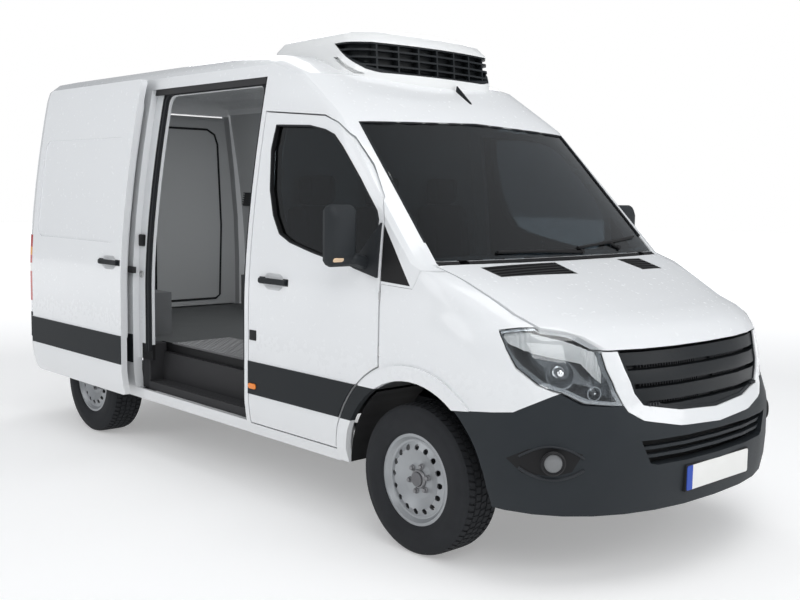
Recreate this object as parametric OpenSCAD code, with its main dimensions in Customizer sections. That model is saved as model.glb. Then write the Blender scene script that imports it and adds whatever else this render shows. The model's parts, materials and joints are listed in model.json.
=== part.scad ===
// Refrigerated panel van, compact wheelbase, normal roof, side door slid open.
// X forward, Y left, Z up, origin on the ground under the middle of the overall box.

/* [Overall] */
// distance between front and rear axle
wheelbase = 3250; // [2900:10:3700]
// front axle to the foremost point
front_overhang = 1012; // [950:1:1100]
// rear axle to the rearmost point
rear_overhang = 1000; // [900:1:1200]
// how far the rear step stands out behind the body
step_out = 30; // [26:1:60]
// width of the body sides
body_w = 1970; // [1800:2:2100]
// height of the roof crown
roof_z = 2490; // [2300:5:2800]
// width over both mirrors
mirror_w = 2426; // [2300:2:2500]

/* [Section] */
// underside of the sills
sill_z = 335; // [280:1:400]
// height where the lower tuck starts
tuck_z = 520; // [450:1:600]
// inward tuck at the sill
tuck = 45; // [0:1:80]
// belt height, widest point
belt_z = 1060; // [980:1:1150]
// height of the roof gutter crease
cant_z = 2310; // [2200:1:2400]
// inward lean from belt to gutter
tumble = 155; // [80:1:220]

/* [Panels] */
// thickness of the load space walls
wall_t = 60; // [40:1:90]
// thickness of the roof
roof_t = 70; // [40:1:90]
// thickness of the cab doors
door_t = 70; // [50:1:90]
// depth of the cab frame pillars
pillar_t = 110; // [90:1:130]
// gap round moving panels
gap = 8; // [6:1:12]
// thickness of wings and bonnet
skin_t = 20; // [12:1:40]
// thickness of the rear doors
rear_door_t = 80; // [50:1:85]
// thickness of the side door
slide_t = 80; // [50:1:85]
// outward shift of the open side door
slide_out = 105; // [95:1:130]
// glass thickness
glass_t = 6; // [4:1:10]
// how far the rub strips stand out
strip_out = 8; // [4:1:12]
// how far the wheel arch flares stand out
flare_out = 12; // [6:1:16]
// width of the wheel arch flares
flare_w = 72; // [50:1:76]

/* [Wheels] */
// outer diameter of the tyres
tyre_d = 712; // [660:2:760]
// section width of the tyres
tyre_w = 235; // [195:5:265]
// diameter of the rim seat
rim_d = 406; // [380:2:440]
// distance between the wheel centre planes
track = 1710; // [1600:2:1760]
// radius of the front wheel arches
arch_r = 468; // [440:1:500]
// radius of the rear wheel arches
rear_arch_r = 430; // [420:1:480]
// steering axis, inboard of the wheel plane
kingpin_in = 35; // [0:1:60]

/* [Roof unit] */
// width of the roof unit
unit_w = 1150; // [900:10:1300]
// length of the roof unit
unit_l = 940; // [700:10:1200]
// top of the roof unit
unit_z = 2585; // [2560:5:2700]
// foremost point of the roof unit, from the front axle
unit_x = -852; // [-900:1:-840]

/* [Hidden] */
x_front = (wheelbase + front_overhang + rear_overhang) / 2;
x_rear = -x_front;
x_back = x_rear + step_out;
front_x = x_front - front_overhang;
rear_x = front_x - wheelbase;
half_w = body_w / 2;
axle_z = tyre_d / 2;
wheel_y = track / 2;
king_y = wheel_y - kingpin_in;
king_r = 14;
offset_y = 62;
hub_y = wheel_y + offset_y - 0.3;
spindle_r = 33;
arm_z = 205;
arm_t = 30;
arm_w = 60;
strut_y = 635;
spring_y = 550;
box_x = 470;
box_y = 600;
box_z = 990;
load_front = -1345;
floor_z = 700;
door_x = -235;
wing_x = -223;
hinge_x = (door_x + wing_x) / 2;
hinge_in = 4;
hinge_r = 2.2;
knuckle_r = 4.2;
hinge_rows = [940, 1200];
rear_hinge_y = 860;
rear_hinge_out = 16;
rear_pin_r = 6;
rear_hinge_rows = [740, 1390, 1640];
bonnet_pin_r = 8;
bonnet_arm_y = 715;
pin_play = 0.05;
bonnet_gap = 13;
bonnet_hinge_x = 8;
bonnet_hinge_z = 1345;
arm_drop = 0.8;
cowl_z = 1350;
strip_z0 = 570;
strip_z1 = 755;
recess_t = 7;
seat_rows = [-520, -30, 480];
jamb_in = 42;
way_x0 = 332.5 - 0.85 * wheelbase;
way_x1 = -1390;
tail_x = -800 - wheelbase;
way_z1 = 2262;

white = [0.93, 0.93, 0.92];
dark = [0.17, 0.17, 0.18];
black = [0.05, 0.05, 0.055];
steel = [0.62, 0.63, 0.65];
pale = [0.82, 0.83, 0.82];

// Names of the sub-parts; one of them can be chosen to draw it alone.

// place along the van, measured forward from the front axle
function st(d) = front_x + d;
function places(pts) = [for (p = pts) [st(p[0]), p[1]]];

// half width of the body at height z
function half_y(z) = z < tuck_z
    ? half_w - tuck * pow((tuck_z - z) / (tuck_z - sill_z), 2)
    : z < belt_z ? half_w : half_w - tumble * pow((z - belt_z) / (cant_z - belt_z), 1.6);
lean = tumble * 1.6 / (cant_z - belt_z);

// half width of the whole shell at height z, pulled in by the inset
function shell_y(z, inset) = z <= cant_z ? half_y(max(z, sill_z)) - inset
    : let (h = (z - cant_z) / (roof_z - cant_z))
        (half_y(cant_z) - inset - lean * (z - cant_z)) * max(0.36, pow(1 - pow(h, 4), 0.25));
function mirrored(pts) = [for (i = [len(pts) - 1:-1:0]) [-pts[i][0], pts[i][1]]];

// levels of the shell: height, foremost x, run of the front per unit of inset,
// depth of the front curve, setback of the rear end
levels = [[225, 950, 1, 600, 0], [335, 996, 1, 620, 0],
    [420, 1008, 1, 640, 0], [520, 1012, 1, 650, 0], [660, 1012, 1, 660, 0],
    [700, 1004, 1, 660, 0], [800, 968, 1, 660, 0], [900, 958, 1, 660, 0],
    [1035, 922, 1.1, 660, 0], [1090, 890, 1.3, 700, 0],
    [1130, 836, 2.2, 720, 0], [1170, 712, 3.2, 620, 0], [1220, 555, 3.2, 420, 0],
    [1320, 241, 3.2, 150, 0], [1365, 100, 2.2, 130, 0],
    [1500, -26, 1.37, 135, 0], [1700, -213, 1.37, 140, 0], [1900, -400, 1.37, 140, 0],
    [2072, -560, 1.5, 145, 0], [2200, -743, 1.75, 160, 0], [2310, -900, 2, 180, 0],
    [2380, -1088, 2.6, 220, 10], [2440, -1250, 3, 260, 34], [2470, -1520, 3, 280, 70],
    [2490, -1700, 3, 300, 130]];
front_steps = 8;
front_power = 0.84;
corner_r = 60;
// plan outline of one level as points in space
function outline(lv, inset, rear) =
    let (z = lv[0] > cant_z ? lv[0] - inset * (lv[0] - cant_z) / (roof_z - cant_z) : lv[0],
        hy = shell_y(lv[0], inset), x0 = x_back + lv[4] + rear, r = corner_r,
        xf = st(lv[1]) - lv[2] * inset, a = lv[3])
    concat([[x0 + r, -hy, z]],
        [for (i = [-front_steps:front_steps])
            let (s = sin(i * 90 / front_steps), c = cos(i * 90 / front_steps))
            [xf - a + a * pow(c, front_power), sign(s) * hy * pow(abs(s), front_power), z]],
        [[x0 + r, hy, z], [x0 + 0.3 * r, hy - 0.3 * r, z], [x0, hy - r, z],
            [x0, -hy + r, z], [x0 + 0.3 * r, -hy + 0.3 * r, z]]);
// closed body shell, pulled in by the inset and by another amount at the rear
module shell(inset = 0, rear = 0) {
    n = 2 * front_steps + 7;
    for (i = [0:len(levels) - 2])
        hull() polyhedron(concat(outline(levels[i], inset, rear), outline(levels[i + 1], inset, rear)),
            concat([[for (j = [0:n - 1]) j]], [[for (j = [n - 1:-1:0]) n + j]],
                [for (j = [0:n - 1]) [(j + 1) % n, j, n + j, n + (j + 1) % n]]));
}
// value of column k of the levels at height z, and the front face of the shell there
function level(z, k) = lookup(z, [for (lv = levels) [lv[0], lv[k]]]);
function face_x(y, z) =
    let (s = pow(min(1, abs(y) / shell_y(z, 0)), 1 / front_power), c = sqrt(1 - s * s))
    st(level(z, 1)) - level(z, 3) * (1 - pow(c, front_power));
// body shell with the rub strips and the arch flares standing out
module skin(flares = true) {
    shell();
    intersection() {
        shell(-strip_out);
        difference() {
            box(x_back + 70, st(-200), -1100, 1100, strip_z0, strip_z1);
            cyl_y(st(0), axle_z, door_low_r - gap, -1200, 1200);
        }
    }
    if (flares) intersection() {
        shell(-flare_out);
        union() {
            cyl_y(st(0), axle_z, arch_r + flare_w, -1200, 1200);
            cyl_y(rear_x, axle_z, rear_arch_r + flare_w, -1200, 1200);
        }
        box(x_back, st(door_low_r), -1100, 1100, sill_z + 10, 1300);
    }
}
// the layer of the body between two depths below its surface
module layer(d0, d1) {
    difference() {
        shell(d0);
        shell(d1);
    }
}
// side view children carried across the van between two y planes
module side_extrude(y0, y1) {
    translate([0, y1, 0]) rotate([90, 0, 0]) linear_extrude(y1 - y0) children();
}
// rectangle with round corners, x from the front axle
module round_rect(x0, x1, z0, z1, r) {
    hull() for (x = [x0 + r, x1 - r], z = [z0 + r, z1 - r])
        translate([st(x), z]) circle(r = r, $fn = 16);
}
// prism of a side view outline between two y planes
module side_prism(pts, y0, y1) {
    translate([0, y1, 0]) rotate([90, 0, 0]) linear_extrude(y1 - y0) polygon(pts);
}
// prism of a front view outline between two x planes
module front_prism(pts, x0, x1) {
    translate([x0, 0, 0]) rotate([90, 0, 90]) linear_extrude(x1 - x0) polygon(pts);
}
// prism of a plan outline between two heights
module plan_prism(pts, z0, z1) {
    translate([0, 0, z0]) linear_extrude(z1 - z0) polygon(pts);
}
module box(x0, x1, y0, y1, z0, z1) {
    translate([x0, y0, z0]) cube([x1 - x0, y1 - y0, z1 - z0]);
}
module cyl_y(x, z, r, y0, y1, fn = 60) {
    translate([x, y0, z]) rotate([-90, 0, 0]) cylinder(r = r, h = y1 - y0, $fn = fn);
}
// side view outlines, [x from the front axle, z]
door_line = [[door_x, 888], [door_x, 1272], [-242, 1568], [-286, 1666], [-420, 1818], [-559, 1952],
    [-670, 2030], [-783, 2070], [-1302, 2112], [-1302, 405], [-700, 405], [-700, 888]];
doorway_line = [[-300, 940], [-300, 1560], [-360, 1660], [-600, 1925], [-700, 1985],
    [-800, 2015], [-1240, 2050], [-1240, 470], [-640, 470], [-640, 940]];
window_line = [[-1187, 2033], [-895, 2018], [-766, 1993], [-687, 1965], [-611, 1904],
    [-444, 1746], [-302, 1600], [-285, 1560], [-285, 1305], [-382, 1323], [-616, 1358],
    [-782, 1389], [-957, 1427], [-1050, 1465], [-1118, 1558], [-1169, 1690], [-1203, 1905]];
door_low_r = arch_r + 92;
lamp_line = [[470, 1112], [537, 1124], [640, 1130], [760, 1085], [850, 1036], [1000, 1032],
    [1000, 800], [860, 800], [790, 815], [727, 858], [656, 890], [572, 958], [512, 1056]];
// front view outlines of one half of the grille frame and of the grille, [y, z]
frame_line = [[640, 1029], [632, 962], [603, 865], [555, 775], [490, 735], [290, 697], [0, 682]];
grille_line = [[571, 1029], [552, 956], [517, 850], [474, 796], [270, 760], [0, 744]];
// outline of both halves, grown sideways and downwards by g
function both(half, g) =
    let (right = [for (p = half) [p[0] > 0 ? p[0] + g : 0, p[1] < 1029 ? p[1] - g : p[1]]])
    concat(right, mirrored(right));

// the cab door blank on the right side, grown by g
module door_blank(g, y0, y1) {
    difference() {
        union() {
            side_prism(places([for (p = door_line)
                [p[0] + (p[0] > -600 ? g : p[0] < -1200 ? -g : 0),
                    p[1] + (p[1] > 1700 ? g : p[1] < 500 ? -g : 0)]]), y0, y1);
            box(st(-720), st(door_x + g), y0, y1, 405 - g, 890);
        }
        cyl_y(st(0), axle_z, door_low_r - g, y0 - 1, y1 + 1);
    }
}
module screen_outline(g = 0) {
    front_prism([[-868 - g, 1374 - g], [868 + g, 1374 - g], [800 + g, 2036 + g], [0, 2064 + g],
        [-800 - g, 2036 + g]], st(-760 - g), st(400));
}

module chassis_frame() {
    color(black) {
        for (s = [-1, 1]) {
            box(x_back + 86, st(500), s * 430 - 40, s * 430 + 40, 480, 600);
            box(st(499), st(860), s * 430 - 35, s * 430 + 35, 500, 590);
            for (r = [[tail_x, 860], [tail_x + 200, 860], [way_x0 - 70, 790], [way_x0 + 430, 790], [-1500, 790],
                [-1000, 860], [-650, 860]])
                box(st(r[0] - 30), st(r[0] + 30), s > 0 ? 469 : -r[1], s > 0 ? r[1] : -469, 540, 600);
        }
        for (x = [tail_x - 30, way_x0 - 320, -1900, -1000])
            box(st(x - 40), st(x + 40), -391, 391, 530, 590);
        box(st(780), st(860), -396, 396, 500, 590);
    }
}
module front_subframe() {
    color(dark) {
        box(st(-200), st(200), -389, 389, 330, 440);
        for (s = [-1, 1]) mirror([0, s > 0 ? 0 : 1, 0]) {
            box(st(-arm_w / 2), st(arm_w / 2), 300, king_y + 26, arm_z, arm_z + arm_t);
            box(st(-160), st(-120), 300, 389, arm_z, 331);
            box(st(-160), st(-arm_w / 2), 300, 389, arm_z, arm_z + arm_t);
            translate([st(0), king_y, arm_z + arm_t - 1]) cylinder(r = king_r, h = 66, $fn = 48);
            translate([st(0), strut_y, 460]) cylinder(r = 28, h = 390, $fn = 48);
            translate([st(0), strut_y, 590]) cylinder(r = 54, h = 250, $fn = 48);
            translate([st(0), strut_y, 850]) cylinder(r = 90, h = 12, $fn = 48);
            box(st(-80), st(80), 470, strut_y + 60, 862, 880);
            box(st(-80), st(80), 470, 490, 600, 862);
        }
    }
}
// steering knuckle of the left side, with hub, brake disc and spindle
module knuckle_left() {
    color(dark) difference() {
        union() {
            cyl_y(st(0), axle_z, 60, king_y - 70, hub_y);
            cyl_y(st(0), axle_z, 86, hub_y - 12, hub_y);
            cyl_y(st(0), axle_z, 150, king_y + 42, king_y + 66);
            cyl_y(st(0), axle_z, spindle_r, hub_y - 1, hub_y + 24, 64);
            box(st(-32), st(32), king_y - 30, king_y + 28, arm_z + arm_t + 8, axle_z);
            box(st(-170), st(-20), king_y - 66, king_y - 40, axle_z - 22, axle_z + 14);
        }
        translate([st(0), king_y, arm_z]) cylinder(r = king_r + 0.05, h = arm_t + 70, $fn = 48);
    }
}
module rear_axle() {
    color(black) {
        cyl_y(rear_x, axle_z, 46, -770, 770);
        translate([rear_x, 0, axle_z]) rotate([0, 90, 0]) rotate_extrude($fn = 64)
            polygon([[0, -110], [90, -100], [140, -40], [150, 0], [140, 50], [80, 150], [45, 190], [0, 190]]);
        for (s = [-1, 1]) mirror([0, s > 0 ? 0 : 1, 0]) {
            cyl_y(rear_x, axle_z, 150, king_y - 60, king_y + 50);
            cyl_y(rear_x, axle_z, 86, king_y + 49, hub_y);
            cyl_y(rear_x, axle_z, spindle_r, hub_y - 1, hub_y + 24, 64);
            box(rear_x - 640, rear_x + 640, spring_y - 35, spring_y + 35, 402, 440);
            box(rear_x - 70, rear_x + 70, spring_y - 42, spring_y + 42, 300, 403);
            for (x = [-600, 600])
                box(rear_x + x - 25, rear_x + x + 25, 470, spring_y + 35, 440, 520);
        }
    }
}
// round rod between two points in the middle plane
module rod_xz(a, b, r) {
    d = b - a;
    translate([a[0], 0, a[1]]) rotate([0, atan2(d[0], d[1]), 0]) cylinder(r = r, h = norm(d), $fn = 48);
}
module drivetrain() {
    color(dark) {
        box(st(-100), st(520), -260, 260, 440, 980);
        box(st(-900), st(-201), -150, 150, 380, 598);
        box(st(-202), st(-99), -150, 150, 441, 598);
        rod_xz([st(-899), 450], [rear_x + 192, axle_z], 40);
    }
}
module fuel_tank() {
    color(black) box(st(way_x0 - 150), st(-1480), 480, 850, 330, 540);
}
module exhaust() {
    color(steel) {
        translate([st(-1900), -660, 420]) rotate([0, 90, 0]) cylinder(r = 100, h = 700, $fn = 48);
        translate([st(way_x0 - 270), -660, 420]) rotate([0, 90, 0]) cylinder(r = 30, h = -1890 - way_x0 + 270, $fn = 32);
        translate([st(-1201), -660, 420]) rotate([0, 90, 0]) cylinder(r = 30, h = 500, $fn = 32);
        for (x = [way_x0 + 430, -1000])
            box(st(x - 15), st(x + 15), -675, -645, 445, 540);
    }
}
module cab_floor() {
    color(dark) {
        box(st(load_front), st(-540), -868, 868, 600, 640);
        box(st(-541), st(-120), -540, 540, 600, 640);
        box(st(-160), st(-120), -540, 540, 639, 1240);
        box(st(-160), st(-120), -860, 860, 890, 1240);
        bonnet_pins();
    }
}
// plan of the load floor inside the walls
module floor_plan() {
    x0 = x_back + 90;
    x1 = st(load_front - 60);
    y = half_w - wall_t;
    r = corner_r;
    difference() {
        polygon([[x1, -y + 125], [st(way_x0 - 130), -y + 125], [st(way_x0 - 130), -y], [x0 + r, -y],
            [x0 + 0.3 * r, -y + 0.3 * r], [x0, -y + r], [x0, y - r], [x0 + 0.3 * r, y - 0.3 * r],
            [x0 + r, y], [x1, y]]);
        for (s = [-1, 1])
            translate([rear_x, s * (box_y + 500)]) square([2 * box_x, 1000], center = true);
    }
}
module load_floor() {
    color(pale) {
        translate([0, 0, 640]) linear_extrude(floor_z - 640) floor_plan();
        for (x = [tail_x, tail_x + 200, way_x0 - 70, way_x0 + 430, -1500])
            box(st(x - 30), st(x + 30), -780, 780, 600, 641);
    }
}
module wheel_boxes() {
    color(pale) for (s = [0, 1]) mirror([0, s, 0]) difference() {
        box(rear_x - box_x, rear_x + box_x, box_y, half_w - wall_t, 640, box_z);
        box(rear_x - box_x + 20, rear_x + box_x - 20, box_y + 20, half_w, 600, box_z - 20);
    }
}
module bulkhead() {
    color(pale) intersection() {
        shell(wall_t + 1);
        box(st(load_front - 60), st(load_front), -1000, 1000, 640, cant_z);
    }
}
module cab_frame() {
    color(white) difference() {
        intersection() {
            shell();
            union() {
                box(st(load_front), st(-240), -1000, 1000, sill_z - 1, 2600);
                side_prism(places([[-240, 1258], [-10, 1251], [20, 1300], [36, cowl_z - 12],
                    [400, cowl_z - 12], [400, 2600], [-240, 2600]]), -1000, 1000);
            }
        }
        shell(pillar_t);
        for (s = [0, 1]) mirror([0, s, 0]) {
            difference() {
                door_blank(gap, -1100, -500);
                shell(door_t + gap);
                screen_outline(32);
            }
            side_prism(places(doorway_line), -1100, -500);
        }
        screen_outline();
        box(st(-229), st(400), -840, 840, 1200, cowl_z);
        for (s = [-1, 1], c = [[38, 1369], [400, 1376]])
            box(st(c[0] > 38 ? 38 : -229), st(c[0]), s * bonnet_arm_y - 28, s * bonnet_arm_y + 28, 1200, c[1]);
        bonnet_plan(bonnet_gap);
        box(st(-3000), st(-900), -1100, 1100, cant_z, 2700);
        box(st(load_front - 5), st(0), -780, 780, 100, 650);
        cyl_y(st(0), axle_z, door_low_r - gap + 0.5, -1100, 1100);
    }
}
// shallow recessed panels, [x0, x1] from the front axle
side_recesses = [[way_x0 - 130, -1470], [tail_x + 170, way_x0 - 230]];
module side_recess(r) {
    intersection() {
        layer(-30, recess_t);
        side_extrude(-1100, 1100) round_rect(r[0], r[1], 1340, 2010, 70);
    }
}
module side_panel() {
    difference() {
        intersection() {
            skin();
            box(x_back, st(load_front), 0, 1100, sill_z, cant_z);
        }
        shell(wall_t, 90);
        rear_opening(gap);
        difference() {
            box(x_back - 20, x_back + 110, half_w - 117, half_w + 115, 840, 1330);
            shell(30);
        }
        cyl_y(rear_x, axle_z, rear_arch_r, -1100, 1100);
        for (r = side_recesses) side_recess(r);
    }
}
rear_line = [[850, 650], [850, 1060], [835, 1450], [795, 1850], [735, 2285]];
// opening of the rear doors, grown by g
module rear_opening(g) {
    right = [for (p = rear_line) [p[0] + g, p[1] < 700 ? 400 : p[1] + (p[1] > 2200 ? g : 0)]];
    front_prism(concat(right, mirrored(right)), x_back - 10, x_back + 130);
}
module side_left() {
    color(white) side_panel();
}
// side door opening: outer recess for the door and the clear way inside it
module aperture() {
    difference() {
        side_extrude(-1100, -500) round_rect(way_x0 - 170, load_front + 5, 409, 2360, 50);
        shell(jamb_in);
    }
    box(st(way_x0 - 170), st(load_front + 5), -1100, -500, 408, 600);
    side_extrude(-1100, -500) round_rect(way_x0, way_x1, 408, way_z1, 60);
    box(st(way_x0), st(way_x1), -1100, -500, 408, 600);
}
module side_right() {
    color(white) difference() {
        mirror([0, 1, 0]) side_panel();
        aperture();
    }
}
// rubber seals on the jamb: [growth of the outer edge, of the inner edge]
module door_seals() {
    color(black) for (r = [[26, 6], [48, 36]]) intersection() {
        layer(jamb_in - 22, jamb_in);
        difference() {
            side_extrude(-1100, -500) round_rect(way_x0 - r[0], way_x1 + min(r[0], 42), 300, way_z1 + r[0], 60);
            side_extrude(-1101, -499) round_rect(way_x0 - r[1], way_x1 + min(r[1], 32), 300, way_z1 + r[1], 50);
        }
        box(st(way_x0 - 170), st(load_front), -1100, -500, 661, 2400);
    }
}
module roof() {
    color(white) difference() {
        intersection() {
            shell();
            box(x_back, st(-900), -1000, 1000, cant_z, 2700);
        }
        shell(roof_t, 90);
        rear_opening(gap);
    }
}
module windscreen() {
    color([0.08, 0.1, 0.11]) intersection() {
        difference() {
            shell(4);
            shell(4 + glass_t);
        }
        screen_outline();
    }
}
module bonnet_plan(g) {
    right = [[126 - g, 0], [118 - g, 350], [100 - g, 600], [76 - g, 780], [58 - g, 889 + g],
        [600, 802 + g], [830, 606 + g], [1100, 570 + g]];
    plan_prism(concat(places(right), [for (i = [7:-1:1]) [st(right[i][0]), -right[i][1]]]),
        1036 - g, 1800);
}
// air vents in the bonnet: plan outlines, [x from the front axle, y]
vents = [[[138, -660], [146, -150], [276, -150], [236, -640]],
    [[146, 395], [140, 585], [262, 600], [272, 430]]];
module vent_cut(pts, d0, d1) {
    intersection() {
        layer(d0, d1);
        plan_prism(places(pts), 1200, 1500);
    }
}
module bonnet() {
    color(white) difference() {
        intersection() {
            layer(0, skin_t);
            bonnet_plan(0);
        }
        for (v = vents) difference() {
            vent_cut(v, -9, 12);
            for (i = [0:3])
                box(st(160 + 28 * i), st(172 + 28 * i), -700, 700, 1200, 1370);
        }
    }
}
// hinge arms of the bonnet with their eyes
module bonnet_arms() {
    hx = st(bonnet_hinge_x);
    hz = bonnet_hinge_z;
    color(black) for (s = [-1, 1]) difference() {
        side_prism([[hx - 6, hz - 10], [hx + 50, hz - 62], [hx + 190, hz - 84], [hx + 210, hz - 57.6 - arm_drop],
            [hx + 96, hz - 12 - arm_drop], [hx + 82, hz - 24], [hx + 66, hz - 40], [hx + 8, hz + 9],
            [hx - 8, hz + 9], [hx - 12, hz]], s * bonnet_arm_y - 10, s * bonnet_arm_y + 10);
        cyl_y(hx, hz, bonnet_pin_r + pin_play, -800, 800, 48);
    }
}
// bonnet hinge pins with their brackets on the firewall
module bonnet_pins() {
    hx = st(bonnet_hinge_x);
    hz = bonnet_hinge_z;
    for (s = [0, 1]) mirror([0, s, 0]) {
        cyl_y(hx, hz, bonnet_pin_r, bonnet_arm_y - 22, bonnet_arm_y + 14, 32);
        side_prism([[st(-160), 1200], [st(-120), 1200], [hx + 12, hz - 8], [hx + 8, hz + 12],
            [hx - 10, hz + 10]], bonnet_arm_y - 26, bonnet_arm_y - 16);
    }
}
module wing(s) {
    color(white) mirror([0, s > 0 ? 1 : 0, 0]) difference() {
        intersection() {
            skin();
            union() {
                side_prism(places([[wing_x, 860], [wing_x, 1256], [-10, 1249], [21, 1299], [37, cowl_z - 13],
                    [640, cowl_z - 13], [860, 1036], [727, 858], [578, 772], [243, 733], [0, 600]]),
                    -1100, -500);
                intersection() {
                    cyl_y(st(0), axle_z, door_low_r - gap - 0.5, -1100, -500);
                    box(st(-600), st(0), -1100, -500, 345, 888);
                }
            }
        }
        shell(skin_t);
        bonnet_plan(bonnet_gap);
        side_prism(places(lamp_line), -1100, -400);
        cyl_y(st(0), axle_z, arch_r, -1100, 0);
        box(st(-300), st(110), -864, 0, 1200, 1500);
    }
}
module arch_liners() {
    color(black) for (s = [-1, 1]) mirror([0, s > 0 ? 0 : 1, 0])
        difference() {
            cyl_y(st(0), axle_z, arch_r + 6, 740, half_w - skin_t, 180);
            cyl_y(st(0), axle_z, arch_r, 730, half_w, 180);
            box(st(-600), st(600), 730, half_w, -200, 745);
        }
}
// lower air intake, front view [y, z]
intake_line = [[520, 652], [470, 550], [430, 540]];
fog_ends = [[690, -936, 566], [806, -838, 580]];
fog_at = [748, -872, 578];
// hollow for a fog lamp on the right side
module fog_hollow() {
    hull() for (p = fog_ends)
        translate([st(p[0] + 30), p[1] - 30, p[2]]) sphere(r = 70, $fn = 16);
}
// fog lamp of the right side, grown by g
module fog_lamp(g) {
    translate([st(fog_at[0]), fog_at[1], fog_at[2]]) rotate([0, 90, lamp_turn])
        cylinder(r = 42 + g, h = 36 + 20 * g, center = true, $fn = 24);
}
module front_bumper() {
    color(dark) difference() {
        intersection() {
            shell();
            side_prism(places([[200, sill_z], [1100, sill_z], [1100, 800], [860, 800], [790, 811],
                [727, 858], [578, 772], [243, 733], [200, 700]]), -1000, 1000);
        }
        shell(50);
        cyl_y(st(0), axle_z, arch_r, -1100, 1100);
        front_prism(both(frame_line, 2), st(500), st(1100));
        difference() {
            front_prism(concat(intake_line, mirrored(intake_line)), st(800), st(1100));
            for (z = [570, 606]) intersection() {
                layer(18, 42);
                box(st(800), st(1100), -520, 520, z, z + 14);
            }
        }
        for (s = [0, 1]) mirror([0, s, 0]) {
            fog_hollow();
            fog_lamp(0.3);
        }
    }
}
// louvre bars of the grille: lower and upper edge
bars = [[966, 1020], [888, 944], [808, 866], [752, 788]];
module grille() {
    color(black) intersection() {
        union() {
            layer(48, 64);
            for (b = bars) intersection() {
                layer(10, 50);
                box(st(400), st(1100), -600, 600, b[0], b[1]);
            }
            intersection() {
                layer(6, 50);
                difference() {
                    front_prism(both(grille_line, -0.5), st(500), st(1100));
                    front_prism(both(grille_line, -14), st(499), st(1101));
                }
            }
        }
        front_prism(both(grille_line, -0.5), st(500), st(1100));
    }
}
// painted surround of the grille
module grille_frame() {
    color(white) difference() {
        intersection() {
            layer(0, 64);
            front_prism(both(frame_line, 0), st(500), st(1100));
        }
        front_prism(both(grille_line, 0), st(499), st(1101));
    }
}
// space of the right headlamp, pulled in by g
module lamp_space(g) {
    difference() {
        side_prism(places([for (p = lamp_line) [p[0] + g, p[1] + (p[1] > 1000 ? -g : g)]]), -1000, -300);
        bonnet_plan(bonnet_gap);
        front_prism(both(frame_line, g - 1), st(300), st(1200));
    }
}
// reflectors of the right headlamp: [x from the front axle, y, z, radius]
reflectors = [[718, -800, 942, 80], [815, -690, 858, 40]];
lamp_turn = -42;
module headlamps() {
    color([0.75, 0.78, 0.8]) for (s = [0, 1]) mirror([0, s, 0]) {
        intersection() {
            union() {
                difference() {
                    lamp_space(4);
                    intersection() {
                        shell(-5);
                        lamp_space(16);
                    }
                }
                layer(70, 130);
                for (r = reflectors) difference() {
                    translate([st(r[0]), r[1], r[2]]) rotate([0, 90, lamp_turn])
                        cylinder(r1 = 0.6 * r[3], r2 = r[3], h = 60, center = true, $fn = 20);
                    translate([st(r[0]), r[1], r[2]]) rotate([0, 90, lamp_turn])
                        cylinder(r1 = 0.5 * r[3], r2 = r[3] - 5, h = 61, center = true, $fn = 20);
                }
            }
            layer(6, 130);
            lamp_space(4);
        }
        fog_lamp(0);
    }
}
module headlamp_lenses() {
    color([0.85, 0.88, 0.9]) for (s = [0, 1]) mirror([0, s, 0]) intersection() {
        layer(0, 5.7);
        lamp_space(4);
    }
}
// wipers: inner end, outer end and pivot, each [y, z]
blades = [[[-470, 1408], [120, 1402], [170, 1392]], [[150, 1414], [760, 1456], [520, 1402]]];
module rod(a, b, r) {
    d = b - a;
    translate(a) rotate([0, acos(d[2] / norm(d)), atan2(d[1], d[0])]) cylinder(r = r, h = norm(d), $fn = 8);
}
// point on the windscreen, raised by h
function on_screen(p, h) = [face_x(p[0], p[1]) + h, p[0], p[1]];
module wipers() {
    color(black) difference() {
        for (b = blades) {
            mid = (b[0] + b[1]) / 2;
            rod(on_screen(b[0], 2), on_screen(mid, 6), 8);
            rod(on_screen(mid, 6), on_screen(b[1], 2), 8);
            rod(on_screen(b[2], -2), on_screen(mid, 6), 7);
            translate(on_screen(b[2], -6)) rotate([0, 55, 0]) cylinder(r = 13, h = 22, center = true, $fn = 16);
        }
        shell(4);
        box(st(-300), st(400), -1000, 1000, 1300, 1374);
    }
}
module tail_lamps() {
    color([0.55, 0.05, 0.05]) for (s = [0, 1]) mirror([0, s, 0])
        intersection() {
            difference() {
                shell(-4);
                shell(30);
            }
            box(x_back - 20, x_back + 110, half_w - 117, half_w + 115, 840, 1330);
        }
}
// grip bar over a scooped hollow, x and z of its middle
module grip_bar(x, z) {
    intersection() {
        layer(-18, -6);
        side_extrude(-1100, -500) round_rect(x - 120, x + 120, z - 15, z + 15, 14);
    }
    for (d = [-105, 105]) intersection() {
        layer(-18, 3);
        side_extrude(-1100, -500) round_rect(x + d - 14, x + d + 14, z - 14, z + 14, 10);
    }
}
module grip_scoop(x, z) {
    hull() for (d = [-45, 45])
        translate([st(x + d), -half_w - 26, z]) sphere(r = 55, $fn = 16);
}
module cab_door() {
    difference() {
        intersection() {
            skin();
            door_blank(0, -1100, -500);
        }
        shell(door_t);
        screen_outline(40);
        intersection() {
            shell(25);
            box(st(-1400), st(-1288), -1000, -500, 300, 2600);
        }
        side_prism(places(window_line), -1100, -400);
        grip_scoop(-1080, 1207);
    }
    grip_bar(-1080, 1207);
}
// knuckles and leaves of the right cab door's hinges
module door_hinge() {
    hx = st(hinge_x);
    hy = -half_w + hinge_in;
    color(steel) for (z = hinge_rows) difference() {
        union() {
            translate([hx, hy, z - 17]) cylinder(r = knuckle_r, h = 34, $fn = 48);
            box(st(door_x), hx - 1, hy - 3, hy + 3, z - 17, z + 17);
        }
        translate([hx, hy, z - 20]) cylinder(r = hinge_r + pin_play, h = 40, $fn = 48);
    }
}
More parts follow.
